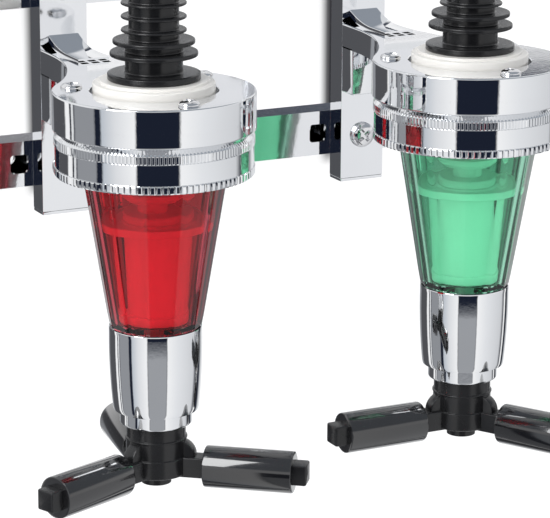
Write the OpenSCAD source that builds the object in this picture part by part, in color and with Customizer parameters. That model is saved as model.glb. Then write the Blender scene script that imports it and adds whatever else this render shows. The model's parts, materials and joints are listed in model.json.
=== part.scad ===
// Wall rack with two shot measures for upside-down bottles.
// Origin: middle of the wall screw pattern, on the wall. +X runs along the
// rails, +Y into the wall, +Z up. All lengths are in millimetres.

/* [Rails] */
// Distance between the two stations along the rails
station_pitch = 115; // [100:1:160]
// Rail length beyond each column's centre line
rail_overhang = 50; // [30:1:90]
// Height of a rail
rail_h = 16; // [14:0.5:22]
// Depth of a rail from the wall to its front
rail_d = 11.5; // [10:0.5:16]
// Wall thickness of the hollow rails
rail_wall = 1.5; // [1:0.1:2]
// Height between the centre lines of the two rails
rail_spacing = 62; // [56:1:80]
// Flange thickness of the rail end caps
rail_cap_t = 1.5; // [1:0.1:3]
// Depth of the plug part of a rail end cap
rail_cap_plug = 6; // [4:0.5:10]

/* [Wall screws] */
// Distance from a column's edge to the centre of the wall screw beside it
access_gap = 5; // [4:0.5:12]
// Width of the square access hole in a rail's front
access_w = 6.5; // [5:0.1:8]
// Corner radius of the square access hole
access_r = 1.2; // [0.5:0.1:2]
// Diameter of the wall screw hole in a rail's back
wall_hole_d = 4.5; // [3.5:0.1:5]

/* [Columns] */
// Width of a column
column_w = 17; // [15:0.5:22]
// Depth of a column, front to back
column_d = 8.5; // [7.5:0.5:12]
// Wall thickness of the hollow columns
column_wall = 1.6; // [1.2:0.1:2]
// Reach of a column below the lower rail's centre line
column_below = 15.5; // [12:0.5:30]
// Reach of a column above the upper rail's centre line
column_above = 297; // [240:1:360]
// Thickness of the cover part of a column end cap
column_cap_t = 1.2; // [0.8:0.1:3]
// Depth of the plug part of a column end cap
column_cap_plug = 7; // [4:0.5:12]

/* [Column screws] */
// Head diameter of a column screw
column_screw_head_d = 9.2; // [7:0.1:9.5]
// Head height of a column screw
column_screw_head_h = 2.4; // [1.8:0.1:3]
// Thread diameter of a column screw
column_screw_d = 4; // [3:0.1:5]
// Side of the square nuts inside the rails
rail_nut_w = 9; // [8:0.1:10]
// Thickness of the square nuts inside the rails
rail_nut_t = 3.2; // [2:0.1:4]

/* [Bracket] */
// Height of the bracket's ring above the middle of the two rails
ring_lift = 10; // [0:1:14]
// Distance from a column's front to the station's axis
reach = 75; // [66:1:90]
// How far the ring stands out past the neck below it
ring_step = 4.5; // [3.5:0.1:6]
// Height of the ring
ring_h = 12.4; // [11:0.2:16]
// Thickness of the ring's top plate
ring_plate = 3; // [2.4:0.1:4]
// Wall thickness of the ring's skirt
ring_wall = 2.5; // [2:0.1:3]
// Gap between the inlet collar and the hole in the ring's top plate
ring_bore_gap = 0.9; // [0.6:0.1:1.5]
// Bevel on the ring's edges
ring_bevel = 0.5; // [0.2:0.1:0.8]
// Height of the arm's side walls
arm_h = 8.5; // [7:0.5:10]
// Thickness of the arm's side walls
arm_wall = 2.6; // [2:0.1:3.2]
// Radius of the blend between the arm and the ring
arm_blend_r = 70; // [40:1:70]
// Height of the block at the arm's root
root_h = 24.5; // [20:0.5:26]
// Depth of the block at the arm's root
root_d = 8; // [6:0.5:12]
// Width of the flat ledge on each side of the arm's top
ledge_w = 3; // [2:0.1:4]
// Height of the raised web at its front end
web_low = 1.2; // [0.8:0.1:2]
// Height of the raised web where it meets the column
web_high = 4.7; // [3:0.1:7]
// Length of the web's curved run-up to the column
web_run = 16; // [10:0.5:18]
// Length of the raised web from the column
web_len = 26; // [20:0.5:28]
// Number of windows in front of the web
window_count = 3; // [2:1:3]
// Width of one window
window_w = 2.6; // [2:0.1:3]
// Length of one window, front to back
window_l = 2.4; // [2:0.1:4]
// Land between the windows and the web
window_land = 0.4; // [0.2:0.1:1]
// Bar left between two windows
window_bar = 1.3; // [1:0.1:1.6]
// Thread diameter of the screws that hold the bracket to its column
bracket_screw_d = 3; // [2.5:0.1:3.5]
// Head diameter of the bracket screws
bracket_screw_head_d = 5.6; // [5:0.1:6.4]
// Head height of the bracket screws
bracket_screw_head_h = 1.5; // [1:0.1:1.6]
// How far the bracket screws bite into the root block
bracket_screw_bite = 6; // [4:0.5:6]

/* [Neck ring and nut] */
// Outer diameter of the threaded neck below the ring
neck_d = 56; // [55:0.5:57]
// Length of the neck below the ring
neck_len = 7.6; // [6:0.2:9]
// Wall thickness of the locking nut at its grip bands
nut_wall = 3.92; // [3.2:0.02:4.8]
// Height of the locking nut
nut_h = 14.2; // [13.2:0.2:16]
// Height of the nut's top bevel
nut_bevel = 2; // [1:0.1:2.2]
// Height of the upper and lower grip bands
nut_band_h = 2.7; // [2:0.1:3.2]
// Step from the grip bands to the smooth belt
nut_belt_step = 0.3; // [0.1:0.05:0.4]
// Thickness of the nut's inner lip
nut_lip_t = 2.8; // [2:0.1:3]
// Gap between the chamber's corners and the nut's inner lip
nut_lip_gap = 0.6; // [0.4:0.1:1]
// Head diameter of the ring screws
ring_screw_head_d = 7; // [6:0.1:7.4]
// Head height of the ring screws
ring_screw_head_h = 1.6; // [1.2:0.1:2]
// Thread diameter of the ring screws
ring_screw_d = 3; // [2.5:0.1:3.5]
// Length of the ring screws below their heads
ring_screw_len = 9; // [7:0.5:11]
// How far the ring screws' axes lie inside the neck's outer face
ring_screw_inset = 1.7; // [1.6:0.1:2.6]

/* [Inlet and stopper] */
// How far the inlet collar's foot stands out past the collar
collar_foot_w = 4.5; // [4:0.1:5]
// Height of the collar above the ring's top
collar_top = 3.5; // [2.5:0.1:5]
// Width of the collar's outer tier
collar_tier_w = 2; // [1:0.1:2.4]
// Step down to the collar's outer tier
collar_tier_h = 1; // [0.6:0.1:1.4]
// Wall of the neck round the collar's clamped foot
neck_wall = 3.9; // [3.4:0.1:4.9]
// Thickness of the collar's clamped foot
collar_foot_t = 2.5; // [2:0.1:3]
// Diameter of the inlet neck inside the chamber
inlet_neck_d = 25.2; // [24:0.2:27]
// Bore of the inlet neck
inlet_bore_d = 18; // [16:0.2:20]
// Socket in the collar for the stopper's plug
socket_d = 23; // [22:0.2:24]
// Depth of that socket
socket_depth = 11.5; // [9:0.5:13]
// Thickness of the spider that carries the air tube
spider_t = 4; // [3:0.5:5]
// Width of each of the spider's three arms
spider_arm_w = 1.8; // [1.4:0.1:2.4]
// How far the spider's hub stands proud of its arms, above and below
spider_arm_drop = 0.6; // [0.3:0.1:0.9]
// Outer diameter of the spider's hub
spider_hub_d = 8; // [7:0.2:9]
// Diameter of the stopper's base flange
stopper_base_d = 29.6; // [28:0.2:32]
// Thickness of the stopper's base flange
stopper_base_t = 2.2; // [1.6:0.1:3]
// Diameter of the stopper's stem
stopper_stem_d = 18.3; // [17:0.1:19]
// Diameter of the lower sealing fin
fin_low_d = 28; // [26:0.2:30]
// Diameter of the upper sealing fin
fin_high_d = 26.1; // [24:0.2:28]
// Thickness of a sealing fin at its edge
fin_t = 1.5; // [1:0.1:1.8]
// Height of the lower sealing fin above the ring's top
fin_low_z = 10.1; // [9.5:0.1:11]
// Height from one sealing fin to the next
fin_pitch = 4.3; // [4:0.1:5]
// Number of fins that grip inside the bottle's neck
grip_fins = 4; // [3:1:5]
// Diameter of the fins inside the bottle's neck
grip_fin_d = 20.8; // [20:0.2:22]
// Diameter of the stopper's core between those fins
stopper_core_d = 16; // [14:0.2:16.6]
// Bore through the stopper
stopper_bore_d = 11; // [9:0.2:12]
// Outer diameter of the air tube
air_tube_d = 4.8; // [4:0.1:5.4]
// Bore of the air tube
air_bore_d = 2.8; // [2:0.1:3]
// Length of the air tube above the stopper
air_tube_above = 52; // [30:1:80]

/* [Chamber] */
// Number of flat sides of the chamber
chamber_sides = 12; // [8:1:12]
// How far the chamber's top flange stands out past its corners
chamber_flange_w = 3.9; // [3.7:0.1:4.8]
// Diameter of the chamber over its corners at the bottom
chamber_bottom_d = 30.2; // [30:0.2:32]
// Height of the chamber below the nut's lip
chamber_h = 53.4; // [50:0.2:60]
// Wall thickness of the chamber's flats
chamber_wall = 1.6; // [1.2:0.1:1.8]
// Thickness of the chamber's top flange
chamber_flange_t = 2.4; // [2:0.1:3]
// Thickness of the chamber's floor
chamber_floor_t = 2.2; // [1.8:0.1:3]
// Diameter of the spigot under the chamber
spigot_d = 25.2; // [24:0.2:25.6]
// Length of the spigot
spigot_len = 5.6; // [5:0.1:7]
// Drain bore through the spigot
drain_d = 15; // [14:0.2:16]
// Thickness of the flat gasket above the chamber
gasket_t = 1.6; // [1:0.1:2]
// Wire diameter of the sleeve's seal ring
seal_wire_d = 1.4; // [1.2:0.1:1.8]

/* [Measure insert] */
// Height of the space above the insert, below the nut's lip
fill_h = 17.6; // [17.4:0.2:22]
// Thickness of the insert's flange
insert_flange_t = 2.6; // [2:0.1:3.2]
// Outer diameter of the insert's cup at the top
cup_top_d = 23.2; // [22.6:0.2:25]
// Outer diameter of the insert's cup at the bottom
cup_bottom_d = 20.8; // [20:0.2:21.6]
// Wall thickness of the insert's cup
cup_wall = 1.4; // [1:0.1:1.6]
// Diameter of the insert's foot ring
cup_foot_d = 22.8; // [22:0.2:24]
// Height of the insert's foot ring
cup_foot_h = 3; // [2:0.2:4]

/* [Valves and plunger] */
// Diameter of the inlet valve
inlet_valve_d = 24.4; // [24:0.2:26]
// Thickness of the inlet valve
inlet_valve_t = 3.8; // [3:0.1:4]
// Gap between the two valves, where the rod shows
valve_gap = 4; // [3:0.1:5]
// Diameter of the outlet valve
outlet_valve_d = 23.4; // [22.6:0.2:25]
// Thickness of the outlet valve
outlet_valve_t = 2.4; // [2:0.1:3]
// Diameter of the valve rod
rod_d = 5.8; // [5.4:0.1:6]
// Diameter of the rod's head
rod_head_d = 9; // [8:0.2:10]
// Height of the rod's head
rod_head_h = 1.2; // [0.8:0.1:1.6]
// Outer diameter of the pouring tube
nozzle_d = 9.8; // [9.4:0.1:10.2]
// Bore of the pouring tube
nozzle_bore_d = 6.4; // [6.2:0.1:6.6]
// Length of the rod's end inside the pouring tube
rod_in_nozzle = 5; // [4:0.5:7]
// Diameter of the drain ports in the pouring tube
port_d = 3.2; // [2.4:0.1:3.6]
// Diameter of the pouring tube's spring seat
spring_seat_d = 18.8; // [18:0.2:19]
// Thickness of the pouring tube's spring seat
spring_seat_t = 1.8; // [1.2:0.1:2.4]

/* [Spring] */
// Mean diameter of the return spring
spring_d = 15.6; // [14:0.2:16.4]
// Wire diameter of the return spring
spring_wire_d = 1.2; // [0.9:0.1:1.4]
// Number of curls
spring_curls = 7; // [5:1:8]

/* [Sleeve and bush] */
// Diameter of the chromed sleeve at its top
sleeve_top_d = 30.2; // [29.6:0.2:32]
// Greatest diameter of the sleeve
sleeve_mid_d = 30.4; // [29.8:0.2:32]
// Diameter of the sleeve at its bottom
sleeve_bottom_d = 27.8; // [27.2:0.2:29]
// Length of the sleeve
sleeve_h = 28; // [26:0.5:32]
// Inner diameter of the sleeve
sleeve_bore_d = 24; // [23.8:0.1:24.4]
// Visible length of the guide bush below the sleeve
bush_show = 4.9; // [3.5:0.1:6]
// Outer diameter of the guide bush where it shows
bush_d = 23.6; // [23:0.1:23.8]
// Length of the guide bush inside the sleeve
bush_inside = 10.5; // [9:0.5:12]
// Rounding of the bush's lower edge
bush_bevel = 0.8; // [0.4:0.1:1.2]

/* [Push arms] */
// Diameter of the hub's sliding barrel
hub_barrel_d = 19.4; // [19.2:0.1:20]
// Length of the barrel that shows below the bush, which sets the stroke
hub_barrel_show = 4.4; // [3.4:0.1:5.4]
// Length of the barrel inside the bush at rest
hub_engage = 6; // [5:0.5:7]
// Diameter of the hub's thin raised bead
hub_bead_d = 20.4; // [20.2:0.1:21]
// Height of that bead
hub_bead_h = 0.8; // [0.5:0.1:1.2]
// Diameter of the hub's middle
hub_mid_d = 19.8; // [18:0.2:20]
// Height of the hub's middle
hub_mid_h = 5.8; // [5:0.2:7]
// Diameter of the hub's lower part
hub_low_d = 20.8; // [20.2:0.2:22]
// Height of the hub's lower part
hub_low_h = 6.1; // [5.9:0.1:6.3]
// Width and height of the square arms
arm_bar_w = 6.8; // [6.6:0.1:7]
// How far the arms stand out below the hub
arm_drop = 0.5; // [0.4:0.1:0.8]
// Distance from the axis to an arm's tip
arm_tip_r = 50.5; // [48:0.5:56]
// Distance from the axis to the grips
grip_start_r = 16.5; // [14:0.5:17]
// Length of a grip
grip_len = 29.5; // [26:0.5:30]
// Outer diameter of a grip
grip_d = 13.8; // [12.6:0.2:15]
// Reach of the rounded shoulder at each arm's root
shoulder_r = 13.2; // [12.6:0.2:13.8]
// Direction of the left station's first arm
hub_turn_left = 82; // [0:1:119]
// Direction of the right station's first arm
hub_turn_right = 60; // [0:1:119]
// Height of the hub's retaining clip
clip_h = 1; // [0.8:0.1:1.4]
// Diameter of the hub's retaining clip
clip_d = 12; // [11.4:0.2:13]
// Length of the pouring tube below the clip
nozzle_below = 2.4; // [1.5:0.1:6]

/* [Bottle holder] */
// Height of the pad's face above the ring's top
pad_z = 285; // [240:1:300]
// Wall thickness of the slider around the column
slider_wall = 3.5; // [3:0.1:5]
// Height of the slider
slider_h = 22; // [18:1:30]
// Width of the holder's arm
holder_arm_w = 12; // [10:0.5:16]
// Height of the holder's arm
holder_arm_h = 7; // [6:0.5:9]
// Diameter of the boss at the arm's end
holder_boss_d = 22; // [18:0.5:28]
// Diameter of the rubber pad
pad_d = 46; // [36:1:60]
// Thickness of the rubber pad at its rim
pad_t = 7; // [5:0.5:9]
// Depth of the hollow in the pad's face
pad_hollow = 2; // [1:0.2:3]
// Width of the pad's rim
pad_rim = 5; // [3:0.5:8]
// Diameter of the pad's stem
pad_stem_d = 8; // [6:0.2:10]
// Diameter of the thumb screw's thread
thumb_screw_d = 5; // [4:0.1:6]
// Diameter of the thumb screw's knob
knob_d = 16; // [14:0.5:20]
// Length of the knob
knob_l = 8; // [6:0.5:12]
// Number of flutes round the knob
knob_flutes = 12; // [8:1:16]

/* [Fits] */
// Radial gap of a running or sliding fit
run_gap = 0.08; // [0.02:0.01:0.1]
// Gap of a fixed part in its seat
seat_gap = 0.1; // [0.05:0.01:0.2]
// Gap between the slider and its column
slider_gap = 0.15; // [0.1:0.05:0.3]

/* [Hidden] */
$fn = 72;

// One overrun for every cut
over = 1;
// Sizes that only screws share
cross_w_share = 0.16;
cross_span_share = 0.62;
cross_depth_share = 0.6;
head_top_share = 0.62;
head_side_share = 0.35;

// Colours
chrome_tone = [0.83, 0.84, 0.86];
black_tone = [0.06, 0.06, 0.065];
ivory_tone = [0.9, 0.88, 0.83];
white_tone = [0.88, 0.9, 0.88];
steel_tone = [0.7, 0.71, 0.73];
chamber_tones = [[0.75, 0.03, 0.08, 0.75], [0.05, 0.62, 0.3, 0.75]];

// Places in the rack's own frame
mount_shift = column_w / 2 + access_gap;
station_x = [mount_shift - station_pitch / 2, mount_shift + station_pitch / 2];
hub_turns = [hub_turn_left, hub_turn_right];
rail_x0 = station_x[0] - rail_overhang;
rail_len = station_pitch + 2 * rail_overhang;
rail_z = [-rail_spacing / 2, rail_spacing / 2];
column_y = -rail_d - column_d;
axis_y = column_y - reach;
column_z0 = rail_z[0] - column_below;
column_z1 = rail_z[1] + column_above;

// Diameters that follow from the neck
ring_d = neck_d + 2 * ring_step;
nut_bore_r = neck_d / 2 + run_gap;
nut_d = 2 * (nut_bore_r + nut_wall);
chamber_top_d = neck_d - 2 * (seat_gap + chamber_flange_w);
nut_lip_d = chamber_top_d + 2 * nut_lip_gap;
collar_foot_d = neck_d - 2 * (seat_gap + neck_wall);
collar_d = collar_foot_d - 2 * collar_foot_w;
ring_bore_d = collar_d + 2 * ring_bore_gap;
ring_screw_pcd = neck_d - 2 * ring_screw_inset;

// Heights at a station, counted from the ring's top
ring_r = ring_d / 2;
neck_z = -ring_h - neck_len;
gasket_z = neck_z - gasket_t;
flange_z = gasket_z - chamber_flange_t;
nut_z = flange_z - nut_lip_t;
nut_top_z = nut_z + nut_h;
stroke = hub_barrel_show - 2 * seat_gap;
floor_z = flange_z - chamber_h + chamber_floor_t;
body_z = flange_z - chamber_h;
spigot_z = body_z - spigot_len;
insert_z = flange_z - fill_h;
outlet_valve_z = insert_z + outlet_valve_t;
inlet_valve_z = outlet_valve_z + valve_gap;
valve_top_z = inlet_valve_z + inlet_valve_t;
inlet_seat_z = valve_top_z + stroke + seat_gap;
sleeve_z = body_z - sleeve_h;
bush_z = sleeve_z - bush_show;
bead_z = bush_z - hub_barrel_show;
hub_mid_z = bead_z - hub_bead_h;
hub_low_z = hub_mid_z - hub_mid_h;
hub_z = hub_low_z - hub_low_h;
clip_z = hub_z - seat_gap - clip_h;
nozzle_z = clip_z - nozzle_below;
bar_z = hub_z - arm_drop;
barrel_top_z = bush_z + hub_engage;
seat_low_z = barrel_top_z + seat_gap;
seat_top_z = seat_low_z + spring_seat_t;
nozzle_top_z = spigot_z + seat_gap;

// Radii that follow from the sizes above
chamber_flat_share = cos(180 / chamber_sides);
cavity_top_r = chamber_top_d / 2 * chamber_flat_share - chamber_wall;
cavity_bottom_r = chamber_bottom_d / 2 * chamber_flat_share - chamber_wall;
function cavity_r(z) = cavity_bottom_r
    + (cavity_top_r - cavity_bottom_r) * (z - floor_z) / (flange_z - floor_z);
bush_bore_r = hub_barrel_d / 2 + run_gap;
rod_r = rod_d / 2;
nozzle_r = nozzle_d / 2;
socket_z = collar_top - socket_depth;
spider_z = socket_z - spider_arm_w / 2 - spider_t;
spider_in = (air_tube_d + spider_hub_d) / 4;
spider_out = (inlet_bore_d + spider_arm_w) / 2;
fin_count = len([fin_low_d, fin_high_d]) + grip_fins;
core_top_z = fin_low_z + fin_count * fin_pitch;
blend_x = column_w / 2 + arm_blend_r;
blend_y = sqrt((ring_r + arm_blend_r) ^ 2 - blend_x ^ 2);

// Moves a station's parts to their place, 0 for the left one and 1 for the right
module at_station(side) {
    translate([station_x[side], axis_y, ring_lift]) children();
}

// Round bar between two heights
module bar(radius, low, high) {
    translate([0, 0, low]) cylinder(r = radius, h = high - low);
}

// Round cone between two heights
module cone(r_low, r_high, low, high) {
    translate([0, 0, low]) cylinder(r1 = r_low, r2 = r_high, h = high - low);
}

// Round tube between two heights
module tube(r_out, r_in, low, high) {
    difference() {
        bar(r_out, low, high);
        bar(r_in, low - over, high + over);
    }
}

// Screw with a domed cross-slot head, standing on z = 0 with its thread below
module cross_screw(head_d, head_h, thread_d, thread_len) {
    slot_l = head_d * cross_span_share;
    slot_w = head_d * cross_w_share;
    slot_h = head_h * cross_depth_share;
    side_z = head_h * head_side_share;
    difference() {
        union() {
            bar(head_d / 2, 0, side_z);
            cone(head_d / 2, head_d / 2 * head_top_share, side_z, head_h);
            bar(thread_d / 2, -thread_len, 0);
        }
        for (turn = [0, 90]) rotate(turn)
            translate([-slot_l / 2, -slot_w / 2, head_h - slot_h]) cube([slot_l, slot_w, slot_h + over]);
    }
}

// Outline of a square access hole with round corners
module access_outline() {
    inner = access_w / 2 - access_r;
    square([access_w, 2 * inner], center = true);
    square([2 * inner, access_w], center = true);
    for (x = [-inner, inner], y = [-inner, inner]) translate([x, y]) circle(access_r);
}

// Hollow rail with screw holes, at level 0 or 1
module rail(level) {
    color(chrome_tone) translate([0, 0, rail_z[level]]) difference() {
        translate([rail_x0, -rail_d, -rail_h / 2]) cube([rail_len, rail_d, rail_h]);
        translate([rail_x0 - over, -rail_d + rail_wall, -rail_h / 2 + rail_wall])
            cube([rail_len + 2 * over, rail_d - 2 * rail_wall, rail_h - 2 * rail_wall]);
        for (x = station_x) {
            translate([x - mount_shift, -rail_wall - over, 0]) rotate([-90, 0, 0])
                cylinder(d = wall_hole_d, h = rail_wall + 2 * over);
            translate([x - mount_shift, -rail_d + rail_wall + over, 0]) rotate([90, 0, 0])
                linear_extrude(rail_wall + 2 * over) access_outline();
            translate([x, -rail_d - over, 0]) rotate([-90, 0, 0])
                cylinder(d = column_screw_d + 2 * seat_gap, h = rail_wall + 2 * over);
        }
    }
}

// Four plugs that close the rails' ends
module rail_end_caps() {
    plug_d = rail_d - 2 * (rail_wall + seat_gap);
    plug_h = rail_h - 2 * (rail_wall + seat_gap);
    color(chrome_tone) for (z = rail_z, end = [0, 1])
        translate([rail_x0 + end * rail_len, 0, z]) mirror([end, 0, 0]) {
            translate([-rail_cap_t, -rail_d, -rail_h / 2]) cube([rail_cap_t, rail_d, rail_h]);
            translate([0, -rail_wall - seat_gap - plug_d, -plug_h / 2])
                cube([rail_cap_plug, plug_d, plug_h]);
        }
}

// Square nuts that the column screws bite into, inside the rails
module rail_nuts() {
    color(steel_tone) for (x = station_x, z = rail_z)
        translate([x, -rail_d + rail_wall, z]) difference() {
            translate([-rail_nut_w / 2, 0, -rail_nut_w / 2]) cube([rail_nut_w, rail_nut_t, rail_nut_w]);
            translate([0, -over, 0]) rotate([-90, 0, 0])
                cylinder(d = column_screw_d + 2 * seat_gap, h = rail_nut_t + 2 * over);
        }
}

// Screws that hold the columns to the rails
module column_screws() {
    color(chrome_tone) for (x = station_x, z = rail_z)
        translate([x, column_y, z]) rotate([90, 0, 0])
            cross_screw(column_screw_head_d, column_screw_head_h, column_screw_d,
                        column_d + rail_wall + rail_nut_t);
}

// Places of the two bracket screws at a station, below the ring's top
bracket_screw_z = [-root_h * 0.28, -root_h * 0.75];

// Screws that hold the brackets' root blocks, driven from behind the columns
module bracket_screws() {
    color(steel_tone) for (side = [0, 1], z = bracket_screw_z)
        at_station(side) translate([0, reach + column_wall, z]) rotate([-90, 0, 0])
            cross_screw(bracket_screw_head_d, bracket_screw_head_h, bracket_screw_d,
                        column_wall + bracket_screw_bite);
}

// Hollow upright of a station
module column(side) {
    x = station_x[side];
    color(chrome_tone) difference() {
        translate([x - column_w / 2, column_y, column_z0])
            cube([column_w, column_d, column_z1 - column_z0]);
        translate([x - column_w / 2 + column_wall, column_y + column_wall, column_z0 - over])
            cube([column_w - 2 * column_wall, column_d - 2 * column_wall,
                  column_z1 - column_z0 + 2 * over]);
        for (z = rail_z) translate([x, column_y - over, z]) rotate([-90, 0, 0])
            cylinder(d = column_screw_d + 2 * seat_gap, h = column_d + 2 * over);
        for (z = bracket_screw_z) translate([x, column_y, ring_lift + z]) rotate([-90, 0, 0]) {
            translate([0, 0, -over])
                cylinder(d = bracket_screw_d + 2 * seat_gap, h = column_wall + 2 * over);
            translate([0, 0, column_wall + over])
                cylinder(d = bracket_screw_head_d + 2 * seat_gap, h = column_d);
        }
    }
}

// Plugs that close the columns' ends
module column_end_caps() {
    plug_w = column_w - 2 * (column_wall + seat_gap);
    plug_d = column_d - 2 * (column_wall + seat_gap);
    color(chrome_tone) for (x = station_x, end = [0, 1])
        translate([x, column_y + column_d / 2, end == 0 ? column_z0 : column_z1])
            mirror([0, 0, 1 - end]) {
                translate([-column_w / 2, -column_d / 2, 0]) cube([column_w, column_d, column_cap_t]);
                translate([-plug_w / 2, -plug_d / 2, -column_cap_plug])
                    cube([plug_w, plug_d, column_cap_plug]);
            }
}

// Plan outline of the arm that flows into the ring, drawn in by an inset
module arm_outline(inset) {
    join_x = blend_x * ring_r / (ring_r + arm_blend_r) - inset;
    half_w = column_w / 2 - inset;
    difference() {
        union() {
            translate([-join_x, 0]) square([2 * join_x, min(blend_y, reach)]);
            translate([-half_w, 0]) square([2 * half_w, reach]);
        }
        for (side_sign = [-1, 1]) translate([side_sign * blend_x, blend_y])
            circle(arm_blend_r + inset);
    }
}

// Side profile of the raised web, from its front end to the column
function web_profile(count) = [for (i = [0:count])
    let (s = i / count)
    [reach - web_len + web_len * s,
     web_low + (web_high - web_low) * pow(max(0, (s * web_len - web_len + web_run) / web_run), 2)]];

// Ring, arm and root block that carry a station
module bracket(side) {
    inner_r = ring_r - ring_wall;
    inner_w = column_w - 2 * arm_wall;
    web_w = column_w - 2 * ledge_w;
    window_step = window_w + window_bar;
    color(chrome_tone) at_station(side) {
        difference() {
            union() {
                bar(ring_r, -ring_h + ring_bevel, -ring_bevel);
                cone(ring_r - ring_bevel, ring_r, -ring_h, -ring_h + ring_bevel);
                cone(ring_r, ring_r - ring_bevel, -ring_bevel, 0);
                translate([0, 0, -arm_h]) linear_extrude(arm_h - ring_bevel) arm_outline(0);
                translate([0, 0, -arm_h]) linear_extrude(arm_h) arm_outline(ring_bevel);
                translate([-column_w / 2, reach - root_d, -root_h])
                    cube([column_w, root_d, root_h - ring_bevel]);
                rotate([90, 0, 90]) translate([0, 0, -web_w / 2]) linear_extrude(web_w)
                    polygon(concat([[reach - web_len, -arm_h / 2]], web_profile(12),
                                   [[reach, -arm_h / 2]]));
            }
            bar(inner_r, -ring_h - over, -ring_plate);
            bar(ring_bore_d / 2, -ring_h - over, over);
            translate([-inner_w / 2, inner_r + arm_wall, -arm_h - over])
                cube([inner_w, reach - root_d - inner_r - arm_wall, arm_h - ring_plate + over]);
            for (i = [0:window_count - 1])
                translate([(i - (window_count - 1) / 2) * window_step - window_w / 2,
                           reach - web_len - window_land - window_l, -arm_h])
                    cube([window_w, window_l, arm_h + over]);
            for (turn = [30, 150, 270]) rotate(turn) translate([ring_screw_pcd / 2, 0, -ring_plate - over])
                cylinder(d = ring_screw_d + 2 * seat_gap, h = ring_plate + 2 * over);
            for (z = bracket_screw_z) translate([0, reach + over, z]) rotate([90, 0, 0])
                cylinder(d = bracket_screw_d, h = bracket_screw_bite + over);
        }
    }
}

// Neck ring that the three ring screws pull up under a bracket's ring
module neck_ring(side) {
    color(black_tone) at_station(side) difference() {
        union() {
            bar(ring_r - ring_wall - seat_gap, -ring_h, -ring_plate);
            bar(neck_d / 2, neck_z, -ring_h);
        }
        bar(collar_d / 2 + seat_gap, neck_z - over, over);
        bar(collar_foot_d / 2 + seat_gap, neck_z - over, neck_z + collar_foot_t);
        for (turn = [30, 150, 270]) rotate(turn) translate([ring_screw_pcd / 2, 0, 0])
            bar(ring_screw_d / 2, -ring_screw_len - seat_gap, 0);
    }
}

// Three screws through the ring's top plate into the neck ring
module ring_screws(side) {
    color(chrome_tone) at_station(side)
        for (turn = [30, 150, 270]) rotate(turn) translate([ring_screw_pcd / 2, 0, 0])
            cross_screw(ring_screw_head_d, ring_screw_head_h, ring_screw_d, ring_screw_len);
}

// White inlet part: collar, clamped foot, inlet neck and air tube spider
module inlet_collar(side) {
    collar_r = collar_d / 2;
    color(ivory_tone) at_station(side) {
        difference() {
            union() {
                bar(collar_r, neck_z, collar_top - collar_tier_h);
                bar(collar_r - collar_tier_w, neck_z, collar_top);
                bar(collar_foot_d / 2, neck_z, neck_z + collar_foot_t);
                bar(inlet_neck_d / 2, inlet_seat_z, neck_z);
            }
            bar(socket_d / 2, socket_z, collar_top + over);
            bar(inlet_bore_d / 2, inlet_seat_z - over, socket_z + over);
        }
        tube(spider_hub_d / 2, air_tube_d / 2 + seat_gap, spider_z, spider_z + spider_t);
        for (turn = [90, 210, 330]) rotate(turn)
            translate([spider_in, -spider_arm_w / 2, spider_z + spider_arm_drop])
                cube([spider_out - spider_in, spider_arm_w, spider_t - 2 * spider_arm_drop]);
    }
}

// Rubber stopper that stands in the collar and seals the bottle's neck
module bottle_stopper(side) {
    stem_r = stopper_stem_d / 2;
    core_r = stopper_core_d / 2;
    color(black_tone) at_station(side) difference() {
        union() {
            bar(socket_d / 2 - seat_gap, socket_z, collar_top);
            bar(stopper_base_d / 2, collar_top, collar_top + stopper_base_t);
            bar(stem_r, collar_top, fin_low_z + fin_pitch + fin_t);
            bar(core_r, fin_low_z, core_top_z);
            cone(fin_low_d / 2, stem_r, fin_low_z + fin_t, fin_low_z + 2 * fin_t);
            bar(fin_low_d / 2, fin_low_z, fin_low_z + fin_t);
            cone(fin_high_d / 2, core_r, fin_low_z + fin_pitch + fin_t, fin_low_z + fin_pitch + 2 * fin_t);
            bar(fin_high_d / 2, fin_low_z + fin_pitch, fin_low_z + fin_pitch + fin_t);
            for (i = [1:grip_fins]) {
                low = fin_low_z + (i + 1) * fin_pitch;
                bar(grip_fin_d / 2, low, low + fin_t / 2);
                cone(grip_fin_d / 2, core_r, low + fin_t / 2, low + 2 * fin_t);
            }
        }
        bar(stopper_bore_d / 2, socket_z - over, core_top_z + over);
    }
}

// Thin tube that lets air into the bottle
module air_tube(side) {
    color(steel_tone) at_station(side)
        tube(air_tube_d / 2, air_bore_d / 2, spider_z, core_top_z + air_tube_above);
}

// Knurled nut that holds the chamber under the neck ring
module locking_nut(side) {
    nut_r = nut_d / 2;
    color(chrome_tone) at_station(side) difference() {
        union() {
            bar(nut_r, nut_z, nut_z + nut_band_h);
            bar(nut_r - nut_belt_step, nut_z, nut_top_z - nut_bevel);
            bar(nut_r, nut_top_z - nut_bevel - nut_band_h, nut_top_z - nut_bevel);
            cone(nut_r, nut_r - nut_bevel, nut_top_z - nut_bevel, nut_top_z);
        }
        bar(nut_bore_r, nut_z + nut_lip_t, nut_top_z + over);
        bar(nut_lip_d / 2, nut_z - over, nut_top_z);
    }
}

// Flat gasket between the neck ring and the chamber
module chamber_gasket(side) {
    color(black_tone) at_station(side)
        tube(neck_d / 2 - seat_gap, cavity_top_r, gasket_z, neck_z);
}

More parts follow.
